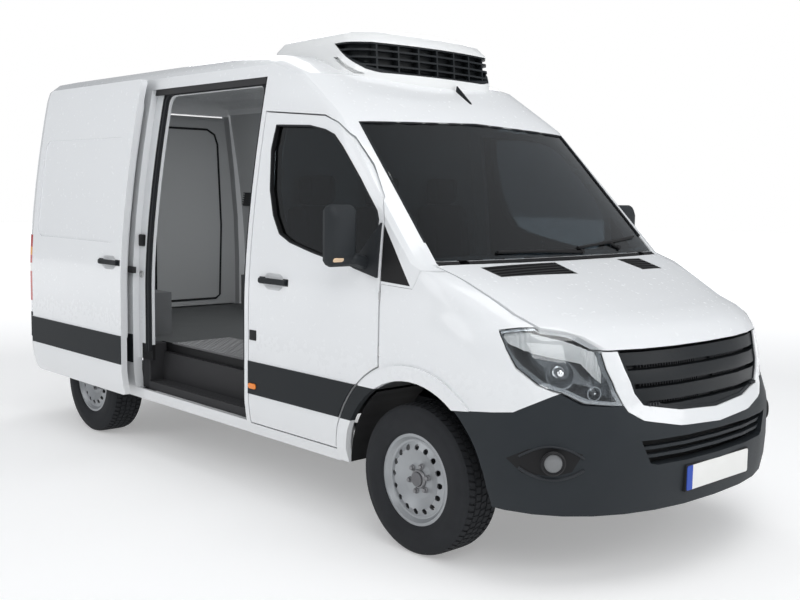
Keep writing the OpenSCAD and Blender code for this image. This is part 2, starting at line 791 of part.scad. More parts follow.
// pins and ears of the right cab door's hinges
module door_pins() {
    hx = st(hinge_x);
    hy = -half_w + hinge_in;
    for (z = hinge_rows) {
        translate([hx, hy, z - 24]) cylinder(r = hinge_r, h = 48, $fn = 48);
        for (d = [-24, 18])
            box(hx - 3, st(wing_x), hy - 3, hy + 3, z + d, z + d + 6);
    }
}
module hinge_pins() {
    color(steel) for (s = [0, 1]) mirror([0, s, 0]) {
        door_pins();
        rear_pins();
    }
}
module door_glass() {
    intersection() {
        difference() {
            shell(20);
            shell(20 + glass_t);
        }
        side_prism(places(window_line), -1000, -400);
    }
}
mirror_x = -400;
mirror_z0 = 1336;
mirror_z1 = 1630;
module mirror_unit() {
    w = mirror_w / 2;
    difference() {
        intersection() {
            shell(-12);
            side_prism(places([[-250, 1285], [-250, 1545], [-430, 1345], [-430, 1322]]), -1000, -600);
        }
        shell();
    }
    difference() {
        union() {
            hull() for (y = [-w + 42, -1075], z = [mirror_z0 + 42, mirror_z1 - 42]) {
                translate([st(mirror_x + 42), y, z]) sphere(r = 42, $fn = 12);
                translate([st(mirror_x + 70), 0.85 * y - 170, 0.8 * z + 297]) sphere(r = 30, $fn = 10);
            }
            hull() for (p = [[-330, -1060, 1372], [-350, -955, 1345]])
                translate([st(p[0]), p[1], p[2]]) sphere(r = 32, $fn = 12);
        }
        shell();
        box(st(mirror_x - 10), st(mirror_x + 14), -w + 16, -1050, mirror_z0 + 16, mirror_z1 - 16);
    }
}
door_x0 = 2 * way_x0 - way_x1 - 420;
door_x1 = way_x0 - 135;
module sliding_door() {
    color(white) difference() {
        translate([0, -slide_out, 0]) {
            difference() {
                intersection() {
                    skin(false);
                    side_extrude(-1100, -500) round_rect(door_x0, door_x1, 365, 2372, 45);
                }
                shell(slide_t);
                intersection() {
                    shell(0.5 * slide_t);
                    difference() {
                        box(st(door_x0 - 410), st(door_x1 + 565), -1100, -500, 100, 2600);
                        side_extrude(-1101, -499) round_rect(door_x0 + 60, door_x1 - 60, 700, 2255, 60);
                    }
                }
                side_recess([door_x0 + 70, door_x1 - 85]);
                grip_scoop(door_x1 - 160, 1215);
            }
            grip_bar(door_x1 - 160, 1215);
        }
        shell(-20);
    }
}
module slide_rails() {
    color(black) {
        difference() {
            box(st(door_x0 - 60), st(door_x1 + 5), -1004, -half_w + 12, 1150, 1190);
            shell();
        }
        difference() {
            box(st(door_x1 - 185), st(door_x1 - 135), -1030, -1003, 1150, 1190);
            translate([0, -slide_out, 0]) difference() {
                shell();
                shell(slide_t);
            }
        }
        intersection() {
            layer(5, jamb_in - 22);
            box(st(door_x1 + 5), st(load_front - 20), -1000, -500, 2272, cant_z - 1);
        }
    }
}
module entry_step() {
    color(black) {
        box(st(way_x0 - 60), st(load_front - 1), -935, -800, 409, 460);
        box(st(way_x0 - 60), st(load_front - 1), -830, -800, 459, 640);
    }
}
module rear_door(s) {
    hx = x_back - rear_hinge_out;
    hy = rear_hinge_y;
    inner = [for (p = rear_line) [p[0] - 30, p[1] + (p[1] > 2200 ? -30 : p[1] < 700 ? 60 : 0)]];
    color(white) mirror([0, s > 0 ? 0 : 1, 0]) difference() {
        union() {
            front_prism(concat([[6, 650]], rear_line, [[6, 2285]]), x_back, x_back + 0.5 * rear_door_t);
            front_prism(concat([[26, 710]], inner, [[26, 2255]]), x_back, x_back + rear_door_t);
            for (z = rear_hinge_rows) {
                translate([hx, hy, z - 30]) cylinder(r = rear_pin_r + 4, h = 60, $fn = 48);
                box(hx - 6, hx + 8, 690, hy - 2, z - 26, z + 26);
                box(hx + 7, x_back + 1, 690, 730, z - 26, z + 26);
            }
        }
        for (z = rear_hinge_rows)
            translate([hx, hy, z - 35]) cylinder(r = rear_pin_r + pin_play, h = 70, $fn = 48);
        front_prism([[90, 1400], [640, 1400], [640, 1980], [90, 2030]], x_back - 1, x_back + recess_t);
        front_prism([[90, 760], [640, 760], [640, 1010], [90, 1010]], x_back - 1, x_back + recess_t);
        if (s < 0) translate([x_back, 90, 1200]) rotate([0, 90, 0])
            cylinder(r = 60, h = 40, center = true, $fn = 48);
    }
    if (s < 0) color(black) mirror([0, 1, 0])
        box(x_back - 14, x_back + 21, 78, 102, 1130, 1270);
}
// pins and ears of the rear door hinges on the left side
module rear_pins() {
    hx = x_back - rear_hinge_out;
    for (z = rear_hinge_rows) {
        translate([hx, rear_hinge_y, z - 44]) cylinder(r = rear_pin_r, h = 88, $fn = 32);
        for (d = [-44, 32])
            box(hx - 6, x_back, rear_hinge_y + 3, rear_hinge_y + 11, z + d, z + d + 12);
    }
}
module rear_step() {
    color(dark) {
        box(x_back, x_back + 85, -858, 858, 405, 640);
        box(x_rear, x_back + 1, -840, 840, 470, 600);
    }
}
// plan of the roof unit: foremost x, half width, rearmost x, pulled in by d
module unit_plan(f, w, b, d) {
    offset(delta = -d) intersection() {
        translate([st(f - 2100), 0]) circle(r = 2100, $fn = 90);
        hull() {
            for (y = [-w + 120, w - 120]) {
                translate([st(f - 185), y]) circle(r = 120, $fn = 24);
                translate([st(b + 100), 0.94 * y]) circle(r = 100, $fn = 16);
            }
            translate([st(f - 40), -w + 190]) square([80, 2 * w - 380]);
        }
    }
}
// levels of the roof unit: [z, setback of the front, of the sides, of the rear]
function unit_levels() = [[unit_z - 330, 12, 0, 0], [unit_z - 250, 0, 0, 0],
    [unit_z - 85, 12, 28, 10], [unit_z - 35, 55, 60, 50], [unit_z, 140, 130, 120]];
module unit_loft(d) {
    lv = unit_levels();
    for (i = [0:len(lv) - 2]) hull() for (l = [lv[i], lv[i + 1]])
        translate([0, 0, l[0] - (l[0] == unit_z ? 1 + d : 0)]) linear_extrude(1)
            unit_plan(unit_x - l[1], unit_w / 2 - l[2], unit_x - unit_l + l[3], d);
}
// region of the louvre: front face and the fore part of both sides, pulled in by g
module louvre_band(g) {
    side_prism(places([[-1125 + 1.5 * g, unit_z - 88 - g], [-895 + 1.5 * g, unit_z - 250 + g],
        [-600, unit_z - 250 + g], [-600, unit_z - 88 - g]]), -700, 700);
}
module roof_unit() {
    color(white) difference() {
        unit_loft(0);
        shell();
        difference() {
            louvre_band(0);
            unit_loft(60);
        }
        for (s = [0, 1]) mirror([0, s, 0]) difference() {
            side_prism(places([[-1115, unit_z - 165], [-955, unit_z - 262], [-915, unit_z - 262],
                [-1075, unit_z - 165]]), -700, -300);
            unit_loft(25);
        }
    }
}
// louvre of the roof unit: back plate, slats all round and upright ribs
module roof_unit_grille() {
    color(black) difference() {
        intersection() {
            louvre_band(0.5);
            difference() {
                unit_loft(4);
                unit_loft(60);
            }
            union() {
                difference() {
                    louvre_band(0.5);
                    louvre_band(9);
                }
                for (i = [1:3])
                    translate([0, 0, unit_z - 250 + 40.5 * i]) box(st(-1200), st(-800), -600, 600, -5, 5);
                for (y = [-420:140:420])
                    box(st(-1200), st(-800), y - 5, y + 5, unit_z - 250, unit_z - 88);
                unit_loft(50);
            }
        }
        shell();
    }
    antenna();
}
// fin aerial on the brow of the roof
module antenna() {
    color(black) difference() {
        hull() {
            translate([st(-838), 150, 2262]) sphere(r = 15, $fn = 12);
            translate([st(-742), 150, 2195]) sphere(r = 10, $fn = 12);
            translate([st(-848), 150, 2298]) sphere(r = 5, $fn = 12);
        }
        shell();
    }
}
module evaporator() {
    color(pale) difference() {
        side_prism(places([[load_front - 60, 2170], [load_front - 60, 2292], [load_front - 470, 2292],
            [load_front - 470, 2250], [load_front - 400, 2186], [load_front - 340, 2170]]), -520, 520);
        for (y = [-300, 0, 300])
            translate([st(load_front - 210), y, 2160]) cylinder(r = 110, h = 40, $fn = 64);
    }
}
// seat profiles in side view, [x from the front axle, z]
cushion_line = [[-1230, 640], [-1260, 940], [-1240, 1010], [-1180, 1022], [-830, 1050], [-775, 1035],
    [-755, 990], [-790, 920], [-860, 640]];
back_line = [[-1262, 990], [-1325, 1080], [-1332, 1560], [-1312, 1612], [-1262, 1606], [-1232, 1540],
    [-1180, 1180], [-1150, 1070], [-1185, 1000]];
head_line = [[-1318, 1600], [-1330, 1640], [-1328, 1760], [-1300, 1785], [-1262, 1778], [-1246, 1740],
    [-1252, 1640], [-1280, 1600]];
seat_w = 440;
module seats() {
    color(dark) for (y = seat_rows) {
        side_prism(places(cushion_line), y - seat_w / 2, y + seat_w / 2);
        side_prism(places(back_line), y - seat_w / 2 + 10, y + seat_w / 2 - 10);
        side_prism(places(head_line), y - 130, y + 130);
    }
}
dash_line = [[-160, 960], [-160, 1238], [-230, 1262], [-330, 1250], [-390, 1215], [-430, 1150],
    [-420, 1090], [-380, 1020], [-330, 960]];
wheel_at = [-545, 480, 1130];
wheel_tilt = 62;
module dashboard() {
    color(dark) {
        side_prism(places(dash_line), -790, 790);
        side_prism(places([[-300, 1240], [-320, 1290], [-400, 1300], [-440, 1270], [-420, 1180]]), 290, 670);
        translate([st(wheel_at[0]), wheel_at[1], wheel_at[2]]) rotate([0, wheel_tilt, 0]) {
            rotate_extrude($fn = 64) translate([190, 0]) circle(r = 15, $fn = 24);
            cylinder(r = 60, h = 40, center = true, $fn = 48);
            for (a = [30, 150, 270])
                rotate([0, 0, a]) translate([120, 0, 0]) cube([140, 30, 14], center = true);
            cylinder(r = 32, h = 150, $fn = 48);
        }
    }
}
module tyre() {
    r = tyre_d / 2;
    w = tyre_w / 2;
    b = rim_d / 2;
    rotate([90, 0, 0]) rotate_extrude($fn = 96)
        polygon([[b + 4, -81], [b + 14.5, -86], [b + 14.5, -98], [b + 30, -w + 8], [r - 70, -w],
            [r - 22, -w + 10], [r - 6, -w + 24], [r, -w + 44], [r, w - 44], [r - 6, w - 24],
            [r - 22, w - 10], [r - 70, w], [b + 30, w - 8], [b + 14.5, 98], [b + 14.5, 86], [b + 4, 81]]);
}
module rim() {
    r = rim_d / 2;
    difference() {
        rotate([90, 0, 0]) rotate_extrude($fn = 96)
            polygon([[r, -95], [r + 14, -95], [r + 14, -89], [r + 3, -84], [r - 14, -30], [r - 14, 40],
                [r + 3, 84], [r + 14, 89], [r + 14, 95], [r, 95], [r - 16, 78], [r - 26, 76],
                [r - 58, 88], [120, 78], [86, 66], [spindle_r + 0.05, 66], [spindle_r + 0.05, offset_y],
                [90, offset_y], [122, 72], [r - 58, 82], [r - 28, 70], [r - 20, 40], [r - 20, -32],
                [r - 4, -84]]);
        for (i = [0:15])
            rotate([0, i * 22.5, 0]) translate([r - 50, 0, 0]) rotate([90, 0, 0])
                cylinder(r = 14, h = 200, $fn = 24);
    }
}
module at_wheel(x, s) {
    translate([x, s * wheel_y, axle_z]) rotate([0, 0, s > 0 ? 180 : 0]) children();
}

chassis_frame();
front_subframe();
knuckle_left();
mirror([0, 1, 0]) knuckle_left();  // knuckle_right
rear_axle();
drivetrain();
fuel_tank();
exhaust();
cab_floor();
load_floor();
wheel_boxes();
bulkhead();
cab_frame();
side_left();
side_right();
roof();
windscreen();
wing(1);  // wing_left
wing(-1);  // wing_right
arch_liners();
front_bumper();
grille();
grille_frame();
headlamps();
headlamp_lenses();
tail_lamps();
wipers();
bonnet();
bonnet_arms();
hinge_pins();
color(white) mirror([0, 1, 0]) cab_door();  // cab_door_left
color(white) cab_door();  // cab_door_right
mirror([0, 1, 0]) door_hinge();  // door_hinge_left
door_hinge();  // door_hinge_right
color(black) mirror([0, 1, 0]) door_glass();  // door_glass_left
color(black) door_glass();  // door_glass_right
color(dark) mirror([0, 1, 0]) mirror_unit();  // mirror_left
color(dark) mirror_unit();  // mirror_right
sliding_door();
slide_rails();
door_seals();
entry_step();
rear_door(1);  // rear_door_left
rear_door(-1);  // rear_door_right
rear_step();
roof_unit();
roof_unit_grille();
evaporator();
seats();
dashboard();
color(black) at_wheel(front_x, 1) tyre();  // tyre_fl
color(black) at_wheel(front_x, -1) tyre();  // tyre_fr
color(black) at_wheel(rear_x, 1) tyre();  // tyre_rl
color(black) at_wheel(rear_x, -1) tyre();  // tyre_rr
color(steel) at_wheel(front_x, 1) rim();  // rim_fl
color(steel) at_wheel(front_x, -1) rim();  // rim_fr
color(steel) at_wheel(rear_x, 1) rim();  // rim_rl
color(steel) at_wheel(rear_x, -1) rim();  // rim_rr
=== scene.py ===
"""Looks of a refrigerated panel van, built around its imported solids."""

import json
import logging
import math
from dataclasses import dataclass
from enum import Enum
from functools import cache, cached_property, reduce
from operator import mul
from typing import Any, Callable, Optional, Sequence

import bmesh
import bpy
from mathutils import Matrix, Vector
from mathutils.bvhtree import BVHTree

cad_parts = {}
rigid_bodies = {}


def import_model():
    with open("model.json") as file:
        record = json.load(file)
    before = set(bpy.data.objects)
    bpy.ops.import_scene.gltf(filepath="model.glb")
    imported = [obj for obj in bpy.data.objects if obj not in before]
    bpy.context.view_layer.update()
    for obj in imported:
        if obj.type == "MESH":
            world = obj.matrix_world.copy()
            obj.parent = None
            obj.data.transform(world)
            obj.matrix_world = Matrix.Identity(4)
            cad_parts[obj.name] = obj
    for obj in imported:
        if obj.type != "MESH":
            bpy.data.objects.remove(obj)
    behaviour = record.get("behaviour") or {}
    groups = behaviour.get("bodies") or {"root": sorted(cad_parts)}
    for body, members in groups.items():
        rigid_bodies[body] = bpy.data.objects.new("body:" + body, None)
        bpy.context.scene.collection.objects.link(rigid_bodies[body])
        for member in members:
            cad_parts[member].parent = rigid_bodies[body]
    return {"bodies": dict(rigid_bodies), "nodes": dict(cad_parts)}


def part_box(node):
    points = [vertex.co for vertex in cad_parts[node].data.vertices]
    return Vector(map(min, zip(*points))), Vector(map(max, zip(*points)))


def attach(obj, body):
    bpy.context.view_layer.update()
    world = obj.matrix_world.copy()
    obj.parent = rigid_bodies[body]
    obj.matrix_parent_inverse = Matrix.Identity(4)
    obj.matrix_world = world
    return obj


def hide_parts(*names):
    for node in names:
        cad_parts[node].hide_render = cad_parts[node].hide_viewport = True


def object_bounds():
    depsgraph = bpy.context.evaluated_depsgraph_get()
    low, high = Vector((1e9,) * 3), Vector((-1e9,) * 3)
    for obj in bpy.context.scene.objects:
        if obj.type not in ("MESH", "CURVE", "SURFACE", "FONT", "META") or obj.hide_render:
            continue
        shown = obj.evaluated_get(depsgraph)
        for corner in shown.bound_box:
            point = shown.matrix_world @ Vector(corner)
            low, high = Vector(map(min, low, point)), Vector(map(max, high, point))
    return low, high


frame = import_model()
CAD_BOX = [list(corner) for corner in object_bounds()]

log = logging.getLogger("van")
Colour = tuple[float, float, float]
Point = tuple[float, float, float]
Flat = tuple[float, float]
Mesh = bmesh.types.BMesh
Ring = list[bmesh.types.BMVert]

FRONT_AXLE = 1.619
REAR_AXLE = FRONT_AXLE - 3.25
AXLE_Z = 0.356
HALF_WIDTH = 0.985
X_BACK = -2.601
SLIDE_OUT = 0.105  # how far the open sliding door stands out
NODE_ANGLE = 28.0  # steepest edge, in degrees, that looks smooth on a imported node
PIECE_ANGLE = 32.0  # the same for a piece that is made here
WELD = 2e-5  # distance at which points are merged before they are shaded smooth
SINK = 0.002  # how deep a piece that is set on a panel goes into it
DULL = 0.2  # reflection of grained plastic, rubber and the paint below its clear coat
BLACK: Colour = (0.012, 0.012, 0.013)
TRIM: Colour = (0.017, 0.020, 0.023)
DUST: Colour = (0.42, 0.40, 0.37)
WHITE: Colour = (1.0, 1.0, 1.0)
AHEAD: Point = (1.0, 0.0, 0.0)
BEHIND: Point = (-1.0, 0.0, 0.0)
TO_LEFT: Point = (0.0, 1.0, 0.0)
TO_RIGHT: Point = (0.0, -1.0, 0.0)
# outline of a cab door's window: distance ahead of the front axle, height
WINDOW: tuple[Flat, ...] = (
    (-1.187, 2.033), (-0.895, 2.018), (-0.766, 1.993), (-0.687, 1.965), (-0.611, 1.904), (-0.444, 1.746),
    (-0.302, 1.600), (-0.285, 1.560), (-0.285, 1.305), (-0.382, 1.323), (-0.616, 1.358), (-0.782, 1.389),
    (-0.957, 1.427), (-1.050, 1.465), (-1.118, 1.558), (-1.169, 1.690), (-1.203, 1.905))


def st(x: float) -> float:
    """Place along the van of x metres ahead of the front axle."""
    return FRONT_AXLE + x


def from_axle(line: Sequence[Flat]) -> tuple[Flat, ...]:
    """Outline whose first measure was counted from the front axle, in the van's frame."""
    return tuple((st(u), v) for u, v in line)


def times(colour: Colour, factor: float) -> Colour:
    """Colour made darker or paler by a factor."""
    return tuple(factor * c for c in colour)


class Side(Enum):
    """Side of the van, as the sign of y."""

    LEFT = 1.0
    RIGHT = -1.0

    @property
    def label(self) -> str:
        """The side as names have it."""
        return self.name.lower()


class Sock:
    """A socket or a plain number that takes part in arithmetic."""

    def __init__(self, graph: "Graph", link: Any) -> None:
        """Keeps the graph and the socket or number."""
        self.graph = graph
        self.link = link

    def _math(self, op: str, *others: Any) -> "Sock":
        """Adds one Math node over this socket and the others."""
        return self.graph.node("ShaderNodeMath", {"operation": op}, dict(enumerate((self, *others))))

    def __add__(self, other: Any) -> "Sock":
        """Sum."""
        return self._math("ADD", other)

    def __radd__(self, other: Any) -> "Sock":
        """Sum with the number first."""
        return self.graph.sock(other)._math("ADD", self)

    def __sub__(self, other: Any) -> "Sock":
        """Difference."""
        return self._math("SUBTRACT", other)

    def __rsub__(self, other: Any) -> "Sock":
        """Difference with the number first."""
        return self.graph.sock(other)._math("SUBTRACT", self)

    def __mul__(self, other: Any) -> "Sock":
        """Product."""
        return self._math("MULTIPLY", other)

    def __rmul__(self, other: Any) -> "Sock":
        """Product with the number first."""
        return self.graph.sock(other)._math("MULTIPLY", self)

    def __truediv__(self, other: Any) -> "Sock":
        """Quotient."""
        return self._math("DIVIDE", other)

    def __rtruediv__(self, other: Any) -> "Sock":
        """Quotient with the number first."""
        return self.graph.sock(other)._math("DIVIDE", self)

    def __gt__(self, other: Any) -> "Sock":
        """1 where this is greater, else 0."""
        return self._math("GREATER_THAN", other)

    def __lt__(self, other: Any) -> "Sock":
        """1 where this is less, else 0."""
        return self._math("LESS_THAN", other)

    def __abs__(self) -> "Sock":
        """Absolute value."""
        return self._math("ABSOLUTE")

    def max(self, other: Any) -> "Sock":
        """Greater of the two."""
        return self._math("MAXIMUM", other)

    def min(self, other: Any) -> "Sock":
        """Lesser of the two."""
        return self._math("MINIMUM", other)

    def root(self) -> "Sock":
        """Square root."""
        return self._math("SQRT")

    def sine(self) -> "Sock":
        """Sine."""
        return self._math("SINE")

    def within(self, low: float, high: float) -> "Sock":
        """1 between two limits, else 0."""
        return (self > low) * (self < high)


class Graph:
    """A node tree, with the one method that adds nodes to it."""

    def __init__(self, tree: bpy.types.NodeTree) -> None:
        """Keeps the tree."""
        self.tree = tree

    def sock(self, value: Any) -> Sock:
        """Wraps a number or socket."""
        return value if isinstance(value, Sock) else Sock(self, value)

    def node(self, kind: str, settings: Optional[dict[str, Any]] = None,
             inputs: Optional[dict[Any, Any]] = None, output: Any = 0) -> Sock:
        """Adds a node.

        Args:
            kind: type name of the node.
            settings: properties, which are set first.
            inputs: values or links by socket name or number.
            output: name or number of the output that is returned.

        Returns:
            The chosen output, with no socket for a node that has none.
        """
        made = self.tree.nodes.new(kind)
        for key, value in (settings or {}).items():
            setattr(made, key, value)
        for key, value in (inputs or {}).items():
            self.feed(made.inputs[key], value)
        return Sock(self, made.outputs[output] if made.outputs else None)

    def feed(self, socket: bpy.types.NodeSocket, value: Any) -> None:
        """Sets a socket to a value, or links it.

        Args:
            socket: the input.
            value: a plain value, a colour of three numbers, or an output.
        """
        if isinstance(value, Sock):
            value = value.link
        if isinstance(value, bpy.types.NodeSocket):
            self.tree.links.new(value, socket)
        elif isinstance(value, tuple) and len(value) == 3 and socket.type == "RGBA":
            socket.default_value = (*value, 1.0)
        else:
            socket.default_value = value


class Shade(Graph):
    """A material's node graph round one Principled shader."""

    def __init__(self, name: str) -> None:
        """Makes the material with its shader and output.

        Args:
            name: name of the material.
        """
        self.material = bpy.data.materials.new(name)
        self.material.use_nodes = True
        super().__init__(self.material.node_tree)
        self.shader = self.tree.nodes["Principled BSDF"]

    def set(self, **values: Any) -> None:
        """Sets the shader's own sockets, with _ for a space."""
        for key, value in values.items():
            self.feed(self.shader.inputs[key.replace("_", " ")], value)

    @cached_property
    def coords(self) -> bpy.types.Node:
        """The one Texture Coordinate node of the graph."""
        return self.node("ShaderNodeTexCoord").link.node

    def _split(self, output: str) -> tuple[Sock, Sock, Sock]:
        """The three parts of one of the coordinate outputs."""
        outs = self.node("ShaderNodeSeparateXYZ", {}, {0: self.coords.outputs[output]}).link.node.outputs
        return Sock(self, outs[0]), Sock(self, outs[1]), Sock(self, outs[2])

    @cached_property
    def place(self) -> tuple[Sock, Sock, Sock]:
        """Coordinates in the van's frame, at rest."""
        return self._split("Object")

    @cached_property
    def facing(self) -> tuple[Sock, Sock, Sock]:
        """Direction that the surface faces, in the van's frame at rest."""
        return self._split("Normal")

    def noise(self, scale: float, detail: float = 3.0, rough: float = 0.5) -> Sock:
        """Noise in the van's frame, with scale as waves a metre."""
        return self.node("ShaderNodeTexNoise", {}, {"Vector": self.coords.outputs["Object"], "Scale": scale,
                                                    "Detail": detail, "Roughness": rough})

    def mix(self, mask: Any, low: Any, high: Any) -> Sock:
        """Colour that goes from low to high with the mask."""
        return self.node("ShaderNodeMix", {"data_type": "RGBA"}, {0: mask, 6: low, 7: high}, 2)

    def blend(self, mask: Any, low: Any, high: Any) -> Sock:
        """Number that goes from low to high with the mask."""
        return self.sock(low) + self.sock(mask) * (self.sock(high) - low)

    def bump(self, height: Sock, depth: float, strength: float = 1.0) -> Sock:
        """Normal raised by a height from 0 to 1."""
        return self.node("ShaderNodeBump", {}, {"Height": height, "Distance": depth, "Strength": strength})


Mask = Callable[[Shade], Sock]


@dataclass(frozen=True)
class BoxMask:
    """Box in the van's frame; None leaves a side open, and y counts on both sides."""

    x: Optional[Flat] = None
    y: Optional[Flat] = None
    z: Optional[Flat] = None

    def __call__(self, shade: Shade) -> Sock:
        """Builds the mask as nodes.

        Args:
            shade: graph that takes them.

        Returns:
            1 inside the box, else 0.
        """
        x, y, z = shade.place
        sides = ((x, self.x), (abs(y), self.y), (z, self.z))
        return reduce(mul, [value.within(*limits) for value, limits in sides if limits is not None])


@dataclass(frozen=True)
class PolygonMask:
    """Convex polygon in two axes of the van's frame; both counts y on both sides."""

    axes: tuple[int, int]
    points: tuple[Flat, ...]
    both: bool = False

    def __call__(self, shade: Shade) -> Sock:
        """Builds the mask as one half plane for each side of the polygon.

        Args:
            shade: graph that takes the nodes.

        Returns:
            1 inside the polygon, else 0.
        """
        u, v = (shade.place[axis] for axis in self.axes)
        u = abs(u) if self.both else u
        edges = list(zip(self.points, self.points[1:] + self.points[:1]))
        turn = math.copysign(1.0, sum(u0 * v1 - u1 * v0 for (u0, v0), (u1, v1) in edges))
        return reduce(mul, [((v - v0) * (turn * (u1 - u0)) - (u - u0) * (turn * (v1 - v0))) > 0.0
                            for (u0, v0), (u1, v1) in edges])


@dataclass(frozen=True)
class FacingMask:
    """Surfaces that face one way along an axis of the van."""

    axis: int
    sign: float
    least: float = 0.5

    def __call__(self, shade: Shade) -> Sock:
        """Builds the mask from the surface's direction."""
        return (shade.facing[self.axis] * self.sign) > self.least


@dataclass(frozen=True)
class Patch:
    """A part of a panel with a colour and gloss of its own."""

    mask: Mask
    colour: Colour
    rough: float


@dataclass(frozen=True)
class Finish:
    """A named finish, whose kinds each set the shader in their own way."""

    name: str

    @cache
    def material(self) -> bpy.types.Material:
        """Builds the material the first time that it is asked for.

        Returns:
            The material.
        """
        shade = Shade(self.name)
        self.fill(shade)
        return shade.material

    def fill(self, shade: Shade) -> None:
        """Sets the shader of a material."""
        raise NotImplementedError


@dataclass(frozen=True)
class Paint(Finish):
    """Glossy body paint, with road dust low down and plastic patches."""

    colour: Colour = (0.80, 0.815, 0.83)
    rough: float = 0.24
    patches: tuple[Patch, ...] = ()

    def fill(self, shade: Shade) -> None:
        """Sets the shader.

        Args:
            shade: graph of the material.
        """
        dust = ((0.95 - shade.place[2]) * 1.1).max(0.0) * shade.noise(2.2, 4.0) * 0.28
        colour = shade.mix(dust, self.colour, DUST)
        rough = self.rough + dust * 0.7 + shade.noise(38.0, 2.0) * 0.05
        coat = 0.55 - dust
        for patch in self.patches:
            mask = patch.mask(shade)
            shown = shade.mix(shade.noise(420.0, 2.0) * 0.35, patch.colour, times(patch.colour, 0.6))
            colour = shade.mix(mask, colour, shown)
            rough = shade.blend(mask, rough, patch.rough)
            coat = shade.blend(mask, coat, 0.0)
        shade.set(Base_Color=colour, Roughness=rough, Coat_Weight=coat, Coat_Roughness=0.06,
                  Specular_IOR_Level=DULL, Normal=shade.bump(shade.noise(24.0, 1.0), 0.0004, 0.05))


@dataclass(frozen=True)
class Plastic(Finish):
    """Moulded plastic with a fine grain."""

    colour: Colour
    rough: float = 0.55
    grain: float = 900.0
    depth: float = 0.0006
    patches: tuple[Patch, ...] = ()
    polished: float = 0.2  # roughness below which it reflects fully

    def fill(self, shade: Shade) -> None:
        """Sets the shader.

        Args:
            shade: graph of the material.
        """
        cloud = shade.noise(5.0, 4.0)
        grain = shade.noise(self.grain, 2.0)
        pale = tuple(min(1.0, 1.35 * c + 0.006) for c in self.colour)
        colour = shade.mix(cloud * 0.6, self.colour, pale)
        rough = self.rough - 0.08 + cloud * 0.16
        for patch in self.patches:
            mask = patch.mask(shade)
            colour = shade.mix(mask, colour, patch.colour)
            rough = shade.blend(mask, rough, patch.rough)
        shade.set(Base_Color=colour, Roughness=rough, Normal=shade.bump(grain, self.depth, 0.35),
                  Specular_IOR_Level=0.5 if self.rough < self.polished else DULL)


@dataclass(frozen=True)
class Metal(Finish):
    """Bare or silver painted metal with light wear."""

    colour: Colour
    rough: float = 0.35
    metal: float = 1.0
    grime: float = 0.3

    def fill(self, shade: Shade) -> None:
        """Sets the shader.

        Args:
            shade: graph of the material.
        """
        worn = shade.noise(9.0, 5.0, 0.6) * self.grime
        fine = shade.noise(260.0, 3.0)
        shade.set(Base_Color=shade.mix(worn, self.colour, times(self.colour, 0.35)),
                  Roughness=self.rough + worn * 0.35 + fine * 0.06,
                  Metallic=self.metal - worn * 0.3, Normal=shade.bump(fine, 0.0004, 0.2))


@dataclass(frozen=True)
class Chequer(Finish):
    """Aluminium floor plate, with painted highlight on the tops of its raised bars and on its nosing, and painted
    shade on the plate between them.
    """

    top: float
    nosing: float = -0.8027

    def fill(self, shade: Shade) -> None:
        """Sets the shader.

        Args:
            shade: graph of the material.
        """
        _, y, z = shade.place
        # painted highlight on the bar tops and the outer face of the nosing, painted shade on the plate between
        # them
        bars = (z > self.top).max(y < self.nosing)
        wear = shade.noise(30.0, 4.0)
        colour = shade.mix(bars, (0.13, 0.13, 0.135), (0.86, 0.87, 0.88))
        shade.set(Base_Color=shade.mix(wear * 0.2, colour, (0.25, 0.25, 0.25)),
                  Roughness=0.30 + wear * 0.2, Metallic=0.25,
                  Normal=shade.bump(shade.noise(300.0, 2.0), 0.0004, 0.3))


@dataclass(frozen=True)
class Rubber(Finish):
    """Rubber or tyre compound, with paler clouds."""

    colour: Colour = (0.016, 0.017, 0.019)
    rough: float = 0.72

    def fill(self, shade: Shade) -> None:
        """Sets the shader.

        Args:
            shade: graph of the material.
        """
        cloud = shade.noise(14.0, 5.0, 0.6)
        shade.set(Base_Color=shade.mix(cloud * 0.5, self.colour, times(self.colour, 2.6)),
                  Roughness=self.rough + cloud * 0.12, Specular_IOR_Level=DULL,
                  Normal=shade.bump(shade.noise(500.0, 2.0), 0.0005, 0.3))


@dataclass(frozen=True)
class Glass(Finish):
    """Tinted or clear pane with a faint haze."""

    tint: Colour
    rough: float = 0.02

    def fill(self, shade: Shade) -> None:
        """Sets the shader.

        Args:
            shade: graph of the material.
        """
        haze = shade.noise(6.0, 4.0)
        shade.set(Base_Color=shade.mix(haze * 0.25, self.tint, times(self.tint, 0.85)),
                  Roughness=self.rough + haze * 0.015, IOR=1.48, Transmission_Weight=1.0)


@dataclass(frozen=True)
class Cloth(Finish):
    """Woven seat cloth."""

    colour: Colour = (0.045, 0.047, 0.052)
    thread: float = 0.004

    def fill(self, shade: Shade) -> None:
        """Sets the shader.

        Args:
            shade: graph of the material.
        """
        x, y, z = shade.place
        wave = 2.0 * math.pi / self.thread
        weave = ((y * wave).sine() * ((x + z) * wave).sine()) * 0.5 + 0.5
        mask = weave * 0.5 + shade.noise(8.0, 3.0) * 0.3
        shade.set(Base_Color=shade.mix(mask, self.colour, times(self.colour, 2.2)), Roughness=0.86,
                  Sheen_Weight=0.25, Normal=shade.bump(weave, 0.0008, 0.5))


@dataclass(frozen=True)
class Ground(Finish):
    """Pale studio floor that glows, a painted light that brightens it to white far from the van."""

    near: float = 5.0
    fade: float = 9.0

    def fill(self, shade: Shade) -> None:
        """Sets the shader.

        Args:
            shade: graph of the material.
        """
        x, y, _ = shade.place
        # painted light: the floor glows faintly near the van and brightens to white far from it
        far = (((x * x + y * y).root() - self.near) / self.fade).min(1.0).max(0.0)
        shade.set(Base_Color=shade.mix(shade.noise(0.8, 3.0) * 0.3, (0.80, 0.80, 0.80), (0.76, 0.76, 0.76)),
                  Roughness=0.7, Emission_Color=shade.mix(far, (0.30, 0.30, 0.30), (0.95, 0.95, 0.95)),
                  Emission_Strength=1.0)


